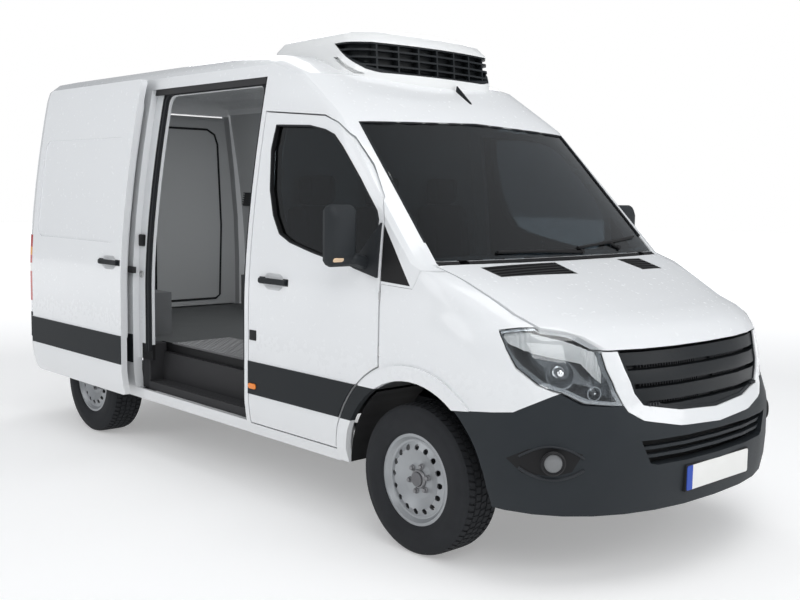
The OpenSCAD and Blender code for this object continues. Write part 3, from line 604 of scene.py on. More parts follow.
@cache
def smooth_group(angle: float) -> bpy.types.NodeTree:
    """A modifier's node group that shades a mesh smooth up to an angle.

    Args:
        angle: steepest edge, in degrees, that still looks smooth.

    Returns:
        The node group.
    """
    tree = bpy.data.node_groups.new(f"shade_smooth_{angle:g}", "GeometryNodeTree")
    for way in ("INPUT", "OUTPUT"):
        tree.interface.new_socket("Geometry", in_out=way, socket_type="NodeSocketGeometry")
    graph = Graph(tree)
    last = graph.node("NodeGroupInput")
    for attribute in ("custom_normal", "sharp_edge", "sharp_face"):
        last = graph.node("GeometryNodeRemoveAttribute", {}, {0: last, "Name": attribute})
    last = graph.node("GeometryNodeMergeByDistance", {}, {"Geometry": last, "Distance": WELD})
    last = graph.node("GeometryNodeSetShadeSmooth", {}, {"Geometry": last})
    steep = graph.node("FunctionNodeCompare", {"data_type": "FLOAT", "operation": "GREATER_THAN"}, {
        0: graph.node("GeometryNodeInputMeshEdgeAngle"), 1: math.radians(angle)})
    last = graph.node("GeometryNodeSetShadeSmooth", {"domain": "EDGE"}, {
        "Geometry": last, "Selection": steep, "Shade Smooth": False})
    graph.node("NodeGroupOutput", {}, {0: last})
    return tree


def shade_smooth(piece: bpy.types.Object, angle: float) -> None:
    """Gives a piece the modifier that shades it smooth up to an angle."""
    piece.modifiers.new("smooth", "NODES").node_group = smooth_group(angle)


def dress(finish: Finish, *nodes: str) -> None:
    """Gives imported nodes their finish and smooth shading.

    Args:
        finish: the finish.
        nodes: names of the nodes.
    """
    for node in nodes:
        piece = frame["nodes"][node]
        for slot in piece.material_slots:
            slot.link = "OBJECT"
            slot.material = finish.material()
        shade_smooth(piece, NODE_ANGLE)
        log.info("dressed %s", node)


def add_object(name: str, data: bpy.types.ID) -> bpy.types.Object:
    """Makes an object of a mesh, lamp or camera and puts it in the scene.

    Args:
        name: its name.
        data: what it holds.

    Returns:
        The new object.
    """
    made = bpy.data.objects.new(name, data)
    bpy.context.scene.collection.objects.link(made)
    return made


def piece_from(mesh: Mesh, name: str, body: str, finish: Finish,
               smooth: bool = True) -> bpy.types.Object:
    """Turns a mesh into a piece that rides on a body.

    Args:
        mesh: the mesh, in the van's frame; it is freed.
        name: name of the piece.
        body: body that it rides on.
        finish: its finish.
        smooth: whether shallow edges are shaded smooth.

    Returns:
        The new object.
    """
    data = bpy.data.meshes.new(name)
    bmesh.ops.recalc_face_normals(mesh, faces=mesh.faces)
    mesh.to_mesh(data)
    mesh.free()
    made = add_object(name, data)
    data.materials.append(finish.material())
    if smooth:
        shade_smooth(made, PIECE_ANGLE)
    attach(made, body)
    log.info("made %s", name)
    return made


def skin(mesh: Mesh, rings: Sequence[Ring]) -> None:
    """Joins closed rings of points, each to the next, with faces.

    Args:
        mesh: mesh that has the points.
        rings: the rings in turn, all of one length.
    """
    for low, high in zip(rings, rings[1:]):
        for i in range(len(low)):
            j = (i + 1) % len(low)
            mesh.faces.new((low[i], low[j], high[j], high[i]))


def add_lathe(mesh: Mesh, profile: Sequence[Flat], place: Matrix,
              steps: int = 24) -> None:
    """Adds a turned form.

    Args:
        mesh: mesh that takes it.
        profile: (radius, height) points; a radius of 0 closes an end.
        place: where its axis, the local z, goes.
        steps: facets round the axis.
    """
    rings = []
    for radius, height in profile:
        if radius == 0.0:
            rings.append([mesh.verts.new(place @ Vector((0.0, 0.0, height)))])
            continue
        turns = [2 * math.pi * i / steps for i in range(steps)]
        rings.append([mesh.verts.new(place @ Vector((radius * math.cos(t), radius * math.sin(t), height)))
                      for t in turns])
    for low, high in zip(rings, rings[1:]):
        for i in range(steps):
            j = (i + 1) % steps
            corners = [low[i % len(low)], low[j % len(low)], high[j % len(high)], high[i % len(high)]]
            unique = list(dict.fromkeys(corners))
            if len(unique) > 2:
                mesh.faces.new(unique)


def add_prism(mesh: Mesh, outline: Sequence[Flat], depth: float,
              place: Matrix, bevel: float = 0.0) -> None:
    """Adds a prism of a flat outline with bevelled rims.

    Args:
        mesh: mesh that takes it.
        outline: (u, v) points in turn.
        depth: thickness along the local z.
        place: where the outline's plane goes.
        bevel: width of the bevel round both rims.
    """
    own = bmesh.new()
    low = [own.verts.new((u, v, 0.0)) for u, v in outline]
    base = own.faces.new(low)
    grown = bmesh.ops.extrude_face_region(own, geom=[base])
    bmesh.ops.translate(own, vec=(0.0, 0.0, depth),
                        verts=[v for v in grown["geom"] if isinstance(v, bmesh.types.BMVert)])
    bmesh.ops.recalc_face_normals(own, faces=own.faces)
    if bevel > 0.0:
        rims = [e for e in own.edges if abs(e.verts[0].co.z - e.verts[1].co.z) < 1e-9]
        bmesh.ops.bevel(own, geom=rims, offset=bevel, segments=2, profile=0.6, affect="EDGES")
    bmesh.ops.transform(own, matrix=place, verts=own.verts)
    data = bpy.data.meshes.new("part")
    own.to_mesh(data)
    own.free()
    mesh.from_mesh(data)
    bpy.data.meshes.remove(data)


def rounded(width: float, height: float, radius: float, steps: int = 5) -> list[Flat]:
    """Outline of a rectangle with round corners, about its middle.

    Args:
        width: its size along u.
        height: its size along v.
        radius: radius of its corners.
        steps: facets of each corner.

    Returns:
        The points in turn.
    """
    points = []
    for k, (sx, sy) in enumerate(((1, 1), (-1, 1), (-1, -1), (1, -1))):
        for i in range(steps + 1):
            angle = math.radians(90.0 * k + 90.0 * i / steps)
            points.append((sx * (width / 2 - radius) + radius * math.cos(angle),
                           sy * (height / 2 - radius) + radius * math.sin(angle)))
    return points


def looking(point: Point, towards: Point, up: Point = (0.0, 0.0, 1.0)) -> Matrix:
    """Frame at a point whose z looks along a direction and whose y leans up.

    Args:
        point: where the frame stands.
        towards: direction of its z.
        up: direction that its y leans to.

    Returns:
        The frame as a matrix.
    """
    z = Vector(towards).normalized()
    x = Vector(up).cross(z).normalized()
    return Matrix.Translation(point) @ Matrix((x, z.cross(x), z)).transposed().to_4x4()


def add_tube(mesh: Mesh, points: Sequence[Point], radius: float, closed: bool = False, steps: int = 10) -> None:
    """Adds a round tube along a line of points.

    Args:
        mesh: mesh that takes it.
        points: points of its axis in turn.
        radius: its radius.
        closed: whether the last point joins the first.
        steps: facets round it.
    """
    line = [Vector(p) for p in points]
    count = len(line)
    rings: list[Ring] = []
    side: Optional[Vector] = None
    for i, at in enumerate(line):
        before = line[(i - 1) % count] if closed or i > 0 else at
        after = line[(i + 1) % count] if closed or i < count - 1 else at
        ahead = (after - before).normalized()
        if side is None:
            side = ahead.orthogonal().normalized()
        side = (side - ahead * side.dot(ahead)).normalized()
        other = ahead.cross(side)
        turns = [2 * math.pi * k / steps for k in range(steps)]
        rings.append([mesh.verts.new(at + radius * (side * math.cos(t) + other * math.sin(t))) for t in turns])
    if closed:
        shift = min(range(steps), key=lambda k: (rings[-1][0].co - rings[0][k].co).length)
        rings.append(rings[0][shift:] + rings[0][:shift])
    else:
        mesh.faces.new(rings[0][::-1])
        mesh.faces.new(rings[-1])
    skin(mesh, rings)


class Surface:
    """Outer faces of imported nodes, for setting trim on them."""

    def __init__(self, *nodes: str) -> None:
        """Gathers the faces of the nodes.

        Args:
            nodes: names of the nodes.
        """
        points: list[Vector] = []
        faces: list[list[int]] = []
        for node in nodes:
            data = frame["nodes"][node].data
            base = len(points)
            points += [v.co.copy() for v in data.vertices]
            faces += [[base + i for i in p.vertices] for p in data.polygons]
        self.tree = BVHTree.FromPolygons(points, faces)

    def hit(self, start: Point, towards: Point) -> Optional[tuple[Vector, Vector]]:
        """First place and direction of the surface met by a ray, or None."""
        place, normal, _, _ = self.tree.ray_cast(Vector(start), Vector(towards))
        return None if place is None else (place, normal)


@dataclass
class BodyShell:
    """White panels, glass and the black trim moulded into them."""

    strip: Flat = (0.5705, 0.7545)
    handle_x: Flat = (-1.21, -0.95)
    handle_z: Flat = (1.188, 1.226)
    lining: Colour = (0.54, 0.555, 0.565)
    door_lining: Colour = (0.055, 0.056, 0.06)
    bonnet_lining: Colour = (0.10, 0.10, 0.105)
    surround: float = 1.022  # growth of the window's outline into its black surround
    hollow: float = -0.382  # the window's one hollow corner, which a convex mask leaves out
    sail: tuple[Flat, ...] = ((-0.250, 1.272), (-0.02, 1.262), (-0.15, 1.43), (-0.250, 1.565))
    bonnet_black: tuple[tuple[Flat, ...], ...] = (
        ((0.130, -0.674), (0.138, -0.138), (0.284, -0.136), (0.244, -0.654)),
        ((0.138, 0.383), (0.132, 0.597), (0.270, 0.613), (0.280, 0.418)))

    def strip_patch(self, out: float = 0.0) -> Patch:
        """Rub strip on a panel that stands out by a shift."""
        return Patch(BoxMask(y=(HALF_WIDTH + out + 0.0015, 2.0), z=self.strip), TRIM, 0.55)

    def sail_patch(self) -> Patch:
        """Black corner ahead of a cab window."""
        return Patch(PolygonMask((0, 2), from_axle(self.sail)), BLACK, 0.5)

    def door_patches(self, side: Side) -> tuple[Patch, ...]:
        """Lining, strip, handle and window surround of a cab door.

        Args:
            side: side of the door.

        Returns:
            The patches in the order in which they cover each other.
        """
        handle = BoxMask(x=(st(self.handle_x[0]), st(self.handle_x[1])), y=(0.975, 2.0), z=self.handle_z)
        mid_x, mid_z = (sum(p[i] for p in WINDOW) / len(WINDOW) for i in range(2))
        grown = from_axle([(mid_x + (x - mid_x) * self.surround, mid_z + (z - mid_z) * self.surround)
                           for x, z in WINDOW if x != self.hollow])
        return (Patch(FacingMask(1, -side.value), self.door_lining, 0.6), self.strip_patch(),
                Patch(handle, TRIM, 0.5), Patch(PolygonMask((0, 2), grown), BLACK, 0.5))

    def sides(self) -> None:
        """Dresses the wings, cab doors, side panels and rear doors."""
        lip = Patch(BoxMask(x=(st(-0.80), st(-0.20)), y=(0.90, 2.0), z=self.strip), TRIM, 0.55)
        jamb = Patch(BoxMask(x=(st(-2.56), st(-2.40)), y=(0.79, 0.945), z=(0.405, 0.70)), BLACK, 0.55)
        catch = Patch(BoxMask(x=(-3.0, X_BACK + 0.022), y=(0.07, 0.11), z=(1.125, 1.275)), TRIM, 0.5)
        for side in Side:
            name = side.label
            inside = Patch(FacingMask(1, -side.value), self.lining, 0.42)
            panel = (inside, self.strip_patch(), *((jamb,) if side is Side.RIGHT else ()))
            rear = (Patch(FacingMask(0, 1.0), self.lining, 0.42), catch)
            dress(Paint(f"wing_paint_{name}", patches=(self.sail_patch(), lip)), f"wing_{name}")
            dress(Paint(f"door_paint_{name}", patches=self.door_patches(side)), f"cab_door_{name}")
            dress(Paint(f"side_paint_{name}", patches=panel), f"side_{name}")
            dress(Paint(f"rear_door_paint_{name}", patches=rear), f"rear_door_{name}")

    def build(self) -> None:
        """Dresses the panels."""
        dress(Paint("body_white"), "roof", "grille_frame")
        scuttle = Patch(BoxMask(x=(st(-0.05), st(0.2)), y=(-1.0, 0.87), z=(1.30, 1.3735)), BLACK, 0.55)
        dress(Paint("cab_paint", patches=(self.strip_patch(), self.sail_patch(), scuttle)), "cab_frame")
        self.sides()
        handle = Patch(BoxMask(x=(st(-2.86), st(-2.58)), y=(1.08, 2.0), z=(1.196, 1.234)), TRIM, 0.5)
        inside = Patch(FacingMask(1, 1.0), self.lining, 0.42)
        dress(Paint("slide_paint", patches=(inside, self.strip_patch(SLIDE_OUT), handle)), "sliding_door")
        bonnet = [Patch(PolygonMask((0, 1), from_axle(line)), BLACK, 0.5) for line in self.bonnet_black]
        below = Patch(FacingMask(2, -1.0), self.bonnet_lining, 0.7)
        dress(Paint("bonnet_paint", patches=(*bonnet, below)), "bonnet")
        dress(Glass("pane", (0.17, 0.20, 0.22)), "windscreen", "door_glass_left", "door_glass_right")


@dataclass
class FrontEnd:
    """Bumper, grille, lamps and wipers."""

    # painted shade: the region round each fog lamp, in y and z, painted black for the shade that falls in its
    # recess
    fog_recess: tuple[Flat, ...] = ((0.80, 0.535), (0.86, 0.515), (0.93, 0.52), (0.955, 0.575), (0.92, 0.625),
                                    (0.84, 0.64), (0.765, 0.61))

    def build(self) -> None:
        """Dresses the front and the tail lamps."""
        # painted shade in the fog lamps' recesses
        recess_shade = Patch(PolygonMask((1, 2), self.fog_recess, True), BLACK, 0.5)
        dress(Plastic("bumper_grey", (0.019, 0.023, 0.027), 0.52, patches=(recess_shade,)), "front_bumper")
        dress(Plastic("grille_black", (0.010, 0.012, 0.014), 0.36), "grille")
        dress(Plastic("wiper_black", BLACK, 0.5), "wipers")
        dress(Metal("lamp_chrome", (0.36, 0.38, 0.40), 0.16, 0.9, 0.15), "headlamps")
        dress(Glass("lamp_lens", (0.95, 0.97, 0.98)), "headlamp_lenses")
        amber = Patch(BoxMask(z=(1.18, 1.24)), (0.75, 0.30, 0.03), 0.14)
        white = Patch(BoxMask(z=(1.06, 1.12)), (0.80, 0.80, 0.78), 0.14)
        dress(Plastic("lamp_red", (0.42, 0.015, 0.015), 0.14, patches=(amber, white)), "tail_lamps")


@dataclass
class Fittings:
    """Mirrors, steps, rails, seals, roof unit, underbody and cab."""

    def build(self) -> None:
        """Dresses the fittings."""
        dress(Plastic("trim_dark", (0.021, 0.024, 0.027), 0.55), "mirror_left", "mirror_right", "rear_step",
              "dashboard", "cab_floor", "arch_liners")
        dress(Plastic("step_black", (0.03, 0.03, 0.032), 0.6), "entry_step")
        dress(Rubber("seal_rubber"), "door_seals")
        dress(Paint("unit_white", (0.80, 0.81, 0.81), 0.30), "roof_unit")
        dress(Plastic("unit_louvre", (0.011, 0.013, 0.015), 0.42), "roof_unit_grille")
        dress(Plastic("lining_white", (0.48, 0.495, 0.505), 0.40, 240.0, 0.0008), "bulkhead", "evaporator")
        dress(Plastic("box_grey", (0.15, 0.155, 0.16), 0.5, 240.0, 0.0008), "wheel_boxes")
        edge = Patch(FacingMask(1, -1.0), BLACK, 0.55)
        dress(Plastic("floor_grey", (0.095, 0.10, 0.102), 0.55, 300.0, 0.001, patches=(edge,)), "load_floor")
        dress(Metal("chassis_black", (0.03, 0.03, 0.032), 0.55, 0.2, 0.5), "chassis_frame", "front_subframe",
              "rear_axle", "fuel_tank", "slide_rails", "bonnet_arms")
        dress(Metal("cast_grey", (0.20, 0.20, 0.21), 0.5, 0.6, 0.5), "knuckle_left", "knuckle_right", "drivetrain")
        dress(Metal("bare_steel", (0.55, 0.55, 0.56), 0.34, 1.0, 0.3), "exhaust", "hinge_pins",
              "door_hinge_left", "door_hinge_right")
        dress(Cloth("seat_cloth"), "seats")


@dataclass
class Wheels:
    """Silver steel wheels and tyres."""

    names: tuple[str, ...] = ("fl", "fr", "rl", "rr")

    def build(self) -> None:
        """Dresses the wheels."""
        dress(Metal("wheel_silver", (0.38, 0.395, 0.41), 0.33, 0.75, 0.25), *(f"rim_{n}" for n in self.names))
        dress(Rubber("tyre_rubber"), *(f"tyre_{n}" for n in self.names))


@dataclass
class FrontTrim:
    """Small pieces of the front: fog lamps, plate, grille fins, a black sheet of painted shade behind the intake,
    and lamp strips.
    """

    plate_z: float = 0.456
    blue_end: tuple[Flat, ...] = ((-0.30, 0.3), (-0.216, 0.3), (-0.216, 0.6), (-0.30, 0.6))
    fin_pitch: float = 0.0165
    fin_reach: int = 27  # fins on each side of the middle
    fin_free: float = 0.06  # half the width in the middle that has none
    fin_rows: tuple[Flat, ...] = ((0.9455, 0.9645), (0.8675, 0.8865), (0.7895, 0.8065))
    strip: tuple[tuple[float, float, float], ...] = (
        (0.738, 1.078, 1.100), (0.819, 1.052, 1.116), (0.885, 1.022, 1.112), (0.986, 1.004, 1.090),
        (1.094, 0.984, 1.058), (1.153, 0.924, 1.030), (1.190, 0.897, 0.962))
    bulbs: tuple[tuple[float, float, float, float], ...] = (
        (0.700, 0.787, 0.942, 0.020), (0.790, 0.671, 0.858, 0.011))  # place from the front axle, radius
    fog: Point = (0.748, 0.872, 0.578)
    fog_lips: tuple[Point, ...] = ((-0.078, 0.042, 0.007), (0.062, -0.050, 0.005))  # height, bow, radius

    def plate(self) -> None:
        """Adds the blank plate with its plain blue end."""
        face = CAD_BOX[1][0]
        holder = bmesh.new()
        add_prism(holder, rounded(0.532, 0.122, 0.008), 0.036,
                  looking((face - 0.0395, 0.0, self.plate_z), AHEAD), 0.002)
        piece_from(holder, "plate_holder", "van", Plastic("holder_black", BLACK, 0.5))
        plate = bmesh.new()
        add_prism(plate, rounded(0.520, 0.110, 0.010), 0.0034,
                  looking((face - 0.0037, 0.0, self.plate_z), AHEAD), 0.0008)
        blue = Patch(PolygonMask((1, 2), self.blue_end), (0.03, 0.08, 0.42), 0.32)
        white = Plastic("plate_white", (0.74, 0.74, 0.72), 0.32, patches=(blue,))
        piece_from(plate, "plate", "van", white)

    def fins(self) -> None:
        """Adds the upright fins in the gaps between the grille's bars."""
        face = Surface("grille")
        mesh = bmesh.new()
        for low, high in self.fin_rows:
            middle = (low + high) / 2
            for i in range(-self.fin_reach, self.fin_reach + 1):
                y = i * self.fin_pitch
                found = face.hit((4.0, y, middle), BEHIND)
                if abs(y) < self.fin_free or found is None:
                    continue
                add_prism(mesh, rounded(0.007, high - low - 0.002, 0.002, 2), 0.016,
                          looking((found[0].x - SINK, y, middle), AHEAD))
        piece_from(mesh, "grille_fins", "van",
                   Plastic("fin_grey", (0.030, 0.032, 0.036), 0.4))

    def baffle(self) -> None:
        """Adds a black sheet behind the lower intake, painted shade for the shaded space in there."""
        mesh = bmesh.new()
        # painted shade: a black sheet that stands for the shade behind the intake
        add_prism(mesh, rounded(0.98, 0.225, 0.02), 0.004, looking((2.483, 0.0, 0.5725), AHEAD), 0.001)
        piece_from(mesh, "intake_baffle", "van", Plastic("baffle_black", BLACK, 0.6))

    def strips(self) -> None:
        """Adds the clear fluted strip along the top of each headlamp, and the bulbs."""
        lens = Surface("headlamp_lenses")
        across, towards = Vector((0.6803, 0.7329, 0.0)), Vector((0.7329, -0.6803, 0.0))
        parts = 6
        stations = [tuple(a[i] + (b[i] - a[i]) * k / parts for i in range(3))
                    for a, b in zip(self.strip, self.strip[1:]) for k in range(parts)]
        for side in Side:
            mesh = bmesh.new()
            rows: list[Ring] = []
            for count, (w, low, high) in enumerate(stations):
                row = []
                for k in range(parts + 1):
                    start = across * w + towards * 6.0 + Vector((0.0, 0.0, low + (high - low) * k / parts))
                    found = lens.hit(tuple(start), tuple(-towards))
                    if found is None:
                        continue
                    flute = 0.0035 if count % 2 else 0.0
                    at = found[0] - found[1] * (0.0115 + flute + 0.004 * abs(k - 3) / 3)
                    row.append(mesh.verts.new((at.x, -side.value * at.y, at.z)))
                if len(row) == parts + 1:
                    rows.append(row)
            for near, far in zip(rows, rows[1:]):
                for k in range(parts):
                    mesh.faces.new((near[k], near[k + 1], far[k + 1], far[k]))
            piece_from(mesh, f"lamp_strip_{side.label}", "van",
                       Plastic(f"strip_clear_{side.label}", (0.78, 0.79, 0.79), 0.16))
            bulbs = bmesh.new()
            for x, y, z, r in self.bulbs:
                add_lathe(bulbs, ((0.0, 0.036), (0.4 * r, 0.034), (0.8 * r, 0.026), (r, 0.012), (r, -0.018),
                                  (1.3 * r, -0.020), (1.3 * r, -0.028), (0.0, -0.028)),
                          looking((st(x), side.value * y, z), (0.80, 0.60 * side.value, 0.0)), 20)
            piece_from(bulbs, f"lamp_bulbs_{side.label}", "van",
                       Metal(f"bulb_bright_{side.label}", (0.86, 0.88, 0.9), 0.10, 0.8, 0.1))

    def fogs(self) -> None:
        """Adds the rim, the lens and the two lips round each fog lamp."""
        face = Surface("front_bumper", "headlamps")
        rim, lip, domes = bmesh.new(), bmesh.new(), bmesh.new()
        for side in Side:
            towards = Vector((0.743, 0.669 * side.value, 0.0))
            middle = Vector((st(self.fog[0]), self.fog[1] * side.value, self.fog[2]))
            found = face.hit(tuple(middle + towards * 2.0), tuple(-towards))
            assert found is not None
            place = looking(tuple(found[0]), tuple(towards))
            add_lathe(rim, ((0.036, -0.004), (0.052, -0.004), (0.053, 0.003), (0.047, 0.008), (0.040, 0.006),
                            (0.036, -0.002), (0.036, -0.004)), place, 36)
            add_lathe(domes, ((0.040, -0.003), (0.038, 0.002), (0.030, 0.005), (0.016, 0.007), (0.0, 0.0075)),
                      place, 36)
            for height, bow, radius in self.fog_lips:
                points = []
                for t in (-1.0 + 2.0 * k / 24 for k in range(25)):
                    start = place @ Vector((0.135 * t * side.value, height + bow * t * t, 1.5))
                    edge = face.hit(tuple(start), tuple(-towards))
                    if edge is not None:
                        points.append(tuple(edge[0] + towards * 0.001))
                add_tube(lip, points, radius, False, 10)
        piece_from(domes, "fog_lenses", "van",
                   Plastic("fog_glass", (0.16, 0.165, 0.17), 0.06, 60.0, 0.0003))
        piece_from(rim, "fog_rims", "van", Plastic("rim_black", BLACK, 0.35))
        piece_from(lip, "fog_lips", "van", Plastic("lip_grey", (0.026, 0.029, 0.033), 0.5))

    def build(self) -> None:
        """Adds all of the front's small pieces."""
        self.fogs()
        self.plate()
        self.fins()
        self.baffle()
        self.strips()


@dataclass
class SideTrim:
    """Markers, mirror glass and the small fittings of the side doorway."""

    marker: Flat = (-1.257, 0.617)
    splash_turn: Flat = (126.0, 181.0)
    screen: tuple[Flat, ...] = (
        (-0.868, 1.40), (-0.800, 2.036), (0.0, 2.064), (0.800, 2.036), (0.868, 1.40))
    scuttle_z: float = 1.401  # the windscreen's rubber ends above this height
    mirror_panes: tuple[Point, ...] = ((0.170, 0.016, 1.518), (0.066, 0.014, 1.392))  # height, corner, z
    plate: tuple[float, float, float, float] = (-2.428, -1.412, -0.798, -0.36)  # x from the front axle, y
    plate_z: float = 0.7015
    bar_pitch: float = 0.034
    splash_r: Flat = (0.4625, 0.4655)
    splash_y: Flat = (0.60, 0.945)
    splash_rib: float = 0.004

    def on_side(self, mesh: Mesh, nodes: Sequence[str], x: float, z: float, side: Side,
                outline: Sequence[Flat], depth: float, bevel: float) -> None:
        """Sets a prism on the outside of a side panel.

        Args:
            mesh: mesh that takes it.
            nodes: nodes that it sits on.
            x: place ahead of the front axle.
            z: its height.
            side: side of the van.
            outline: its outline.
            depth: how far it stands out.
            bevel: bevel of its rim.
        """
        found = Surface(*nodes).hit((st(x), 2.0 * side.value, z), (0.0, -side.value, 0.0))
        assert found is not None
        at = found[0]
        add_prism(mesh, outline, depth + SINK,
                  looking((at.x, at.y - SINK * side.value, at.z), (0.0, side.value, 0.0)), bevel)

    def seals(self) -> None:
        """Adds the rubber round the cab windows and the windscreen."""
        rubber = Rubber("window_rubber")
        middle = Vector((sum(x for x, _ in WINDOW), sum(z for _, z in WINDOW))) / len(WINDOW)
        for side in Side:
            name, sign = side.label, side.value
            door = Surface(f"cab_door_{name}")
            points = []
            for x, z in self.evenly(WINDOW, 0.045):
                out = (Vector((x, z)) - middle).normalized() * 0.006
                found = door.hit((st(x + out.x), 2.0 * sign, z + out.y), (0.0, -sign, 0.0))
                if found is not None and abs(found[0].y) > 0.80:
                    points.append(tuple(found[0] - Vector((0.0, SINK * sign, 0.0))))
            mesh = bmesh.new()
            add_tube(mesh, points, 0.0055, True, 8)
            piece_from(mesh, f"window_rubber_{name}", f"cab_door_{name}", rubber)
        face = Surface("cab_frame", "windscreen")
        points = []
        for y, z in (p for p in self.evenly(self.screen, 0.06) if p[1] > self.scuttle_z):
            found = face.hit((4.0, y, z), BEHIND)
            if found is not None:
                points.append(tuple(found[0] + Vector((-0.001, 0.0, 0.0))))
        mesh = bmesh.new()
        add_tube(mesh, points, 0.006, False, 8)
        piece_from(mesh, "screen_rubber", "van", rubber)

    @staticmethod
    def evenly(line: Sequence[Flat], step: float) -> list[Flat]:
        """Points at even steps along a closed outline.

        Args:
            line: corners of the outline in turn.
            step: greatest distance between points.

        Returns:
            The points, with every corner among them.
        """
        points = []
        for (u0, v0), (u1, v1) in zip(line, list(line[1:]) + [line[0]]):
            count = max(1, math.ceil(math.hypot(u1 - u0, v1 - v0) / step))
            points += [(u0 + (u1 - u0) * k / count, v0 + (v1 - v0) * k / count) for k in range(count)]
        return points

    def markers(self) -> None:
        """Adds the amber side markers and the black stop on the right cab door."""
        amber = Plastic("marker_amber", (0.80, 0.22, 0.03), 0.16, 200.0, 0.0004)
        black = Plastic("stop_black", BLACK, 0.5)
        for side in Side:
            name = side.label
            mesh = bmesh.new()
            self.on_side(mesh, (f"cab_door_{name}", "cab_frame"), *self.marker, side,
                         rounded(0.072, 0.030, 0.0145), 0.007, 0.003)
            piece_from(mesh, f"marker_{name}", f"cab_door_{name}", amber)
        stop = bmesh.new()
        self.on_side(stop, ("cab_door_right",), -1.262, 0.898, Side.RIGHT, rounded(0.062, 0.056, 0.004),
                     0.004, 0.0015)
        piece_from(stop, "door_stop", "cab_door_right", black)

    def mirrors(self) -> None:
        """Adds the mirror glasses and their indicators."""
        silver = Metal("mirror_silver", (0.86, 0.88, 0.9), 0.03, 1.0, 0.06)
        clear = Plastic("indicator_clear", (0.72, 0.52, 0.34), 0.15)
        for side in Side:
            name, sign = side.label, side.value
            mesh = bmesh.new()
            for height, corner, z in self.mirror_panes:
                add_prism(mesh, rounded(0.136, height, corner), 0.006,
                          looking((st(-0.389), 1.1235 * sign, z), BEHIND), 0.002)
            piece_from(mesh, f"mirror_glass_{name}", f"cab_door_{name}", silver)
            found = Surface(f"mirror_{name}").hit((st(1.0), 1.165 * sign, 1.372), BEHIND)
            if found is not None:
                lamp = bmesh.new()
                add_prism(lamp, rounded(0.060, 0.022, 0.009), 0.006,
                          looking(tuple(found[0] - found[1] * 0.003), tuple(found[1])), 0.002)
                piece_from(lamp, f"indicator_{name}", f"cab_door_{name}", clear)

    def doorway(self) -> None:
        """Adds the latch blocks, the striker, and the end and ribs of the step."""
        face = Surface("side_right")
        block = bmesh.new()
        for x, z, w, h, d in ((-2.565, 1.358, 0.060, 0.075, 0.016), (-2.545, 0.52, 0.045, 0.080, 0.020)):
            found = face.hit((st(x), -2.0, z), TO_LEFT)
            if found is not None:
                add_prism(block, rounded(w, h, 0.010), d + SINK,
                          looking(tuple(found[0] + Vector((0.0, SINK, 0.0))), TO_RIGHT), 0.003)
        piece_from(block, "latch_blocks", "van", Plastic("latch_black", BLACK, 0.45))
        ring = bmesh.new()
        found = face.hit((st(-2.560), -2.0, 1.141), TO_LEFT)
        if found is not None:
            add_lathe(ring, ((0.010, 0.001), (0.022, 0.001), (0.024, 0.004), (0.020, 0.009), (0.012, 0.009),
                             (0.010, 0.005), (0.010, 0.001)), looking(tuple(found[0]), TO_RIGHT), 28)
            piece_from(ring, "striker", "van", Metal("striker_steel", (0.6, 0.6, 0.6)))
        end = bmesh.new()
        add_prism(end, rounded(0.092, 0.126, 0.010), 0.286,
                  Matrix.Translation((st(-2.536), -0.8685, 0.411)), 0.004)
        piece_from(end, "step_end", "van", Plastic("end_black", (0.028, 0.028, 0.03), 0.55))
        ribs = bmesh.new()
        for y in (-0.915 + 0.022 * i for i in range(5)):
            add_tube(ribs, ((st(-2.42), y, 0.4605), (st(-1.42), y, 0.4605)), 0.004, False, 8)
        piece_from(ribs, "step_ribs", "van", Plastic("rib_black", (0.03, 0.03, 0.032), 0.55))

    def chequer(self) -> None:
        """Adds the aluminium floor plate at the doorway, with its raised bars and nosing."""
        mesh = bmesh.new()
        x0, x1, y0, y1 = st(self.plate[0]), st(self.plate[1]), *self.plate[2:]
        pitch, top, margin, first = self.bar_pitch, self.plate_z, 0.03, 0.026
        add_prism(mesh, ((x0, y0), (x1, y0), (x1, y1), (x0, y1)), 0.002,
                  Matrix.Translation((0.0, 0.0, top - 0.002)))
        add_tube(mesh, ((x0, y0, top - 0.004), (x1, y0, top - 0.004)), 0.0045, False, 10)
        bar = ((-0.018, 0.0, -0.0005), (0.0, -0.0075, -0.0005), (0.018, 0.0, -0.0005), (0.0, 0.0075, -0.0005),
               (-0.010, 0.0, 0.0016), (0.010, 0.0, 0.0016))
        for i in range(int((x1 - x0 - margin) / pitch)):
            for k in range(int((y1 - y0 - margin) / pitch)):
                turn = Matrix.Rotation(math.radians(45.0 if (i + k) % 2 else -45.0), 4, "Z")
                at = Matrix.Translation((x0 + first + i * pitch, y0 + first + k * pitch, top)) @ turn
                own = [mesh.verts.new(at @ Vector(corner)) for corner in bar]
                for f in ((0, 1, 5, 4), (1, 2, 5), (2, 3, 5), (3, 0, 4), (3, 4, 5)):
                    mesh.faces.new([own[c] for c in f])
        piece_from(mesh, "chequer_plate", "van", Chequer("plate_aluminium", top + 0.0003), False)

    def splash(self) -> None:
        """Adds the ribbed lower end of each front arch liner, behind the wheel."""
        (start, end), (y0, y1), outer, steps = self.splash_turn, self.splash_y, self.splash_r[1], 18
        for side in Side:
            mesh = bmesh.new()
            rings: list[Ring] = []
            for k in range(steps + 1):
                turn = math.radians(start + (end - start) * k / steps)
                inner = self.splash_r[0] - (self.splash_rib if k % 6 == 3 else 0.0)
                rings.append([mesh.verts.new((
                    FRONT_AXLE + r * math.cos(turn), side.value * y, AXLE_Z + r * math.sin(turn)))
                    for r, y in ((outer, y0), (outer, y1), (inner, y1), (inner, y0))])
            skin(mesh, rings)
            mesh.faces.new(rings[0][::-1])
            mesh.faces.new(rings[-1])
            piece_from(mesh, f"arch_splash_{side.label}", "van", Plastic("splash_black", BLACK, 0.6))

    def build(self) -> None:
        """Adds all of the side's small pieces."""
        self.seals()
        self.splash()
        self.markers()
        self.mirrors()
        self.doorway()
        self.chequer()


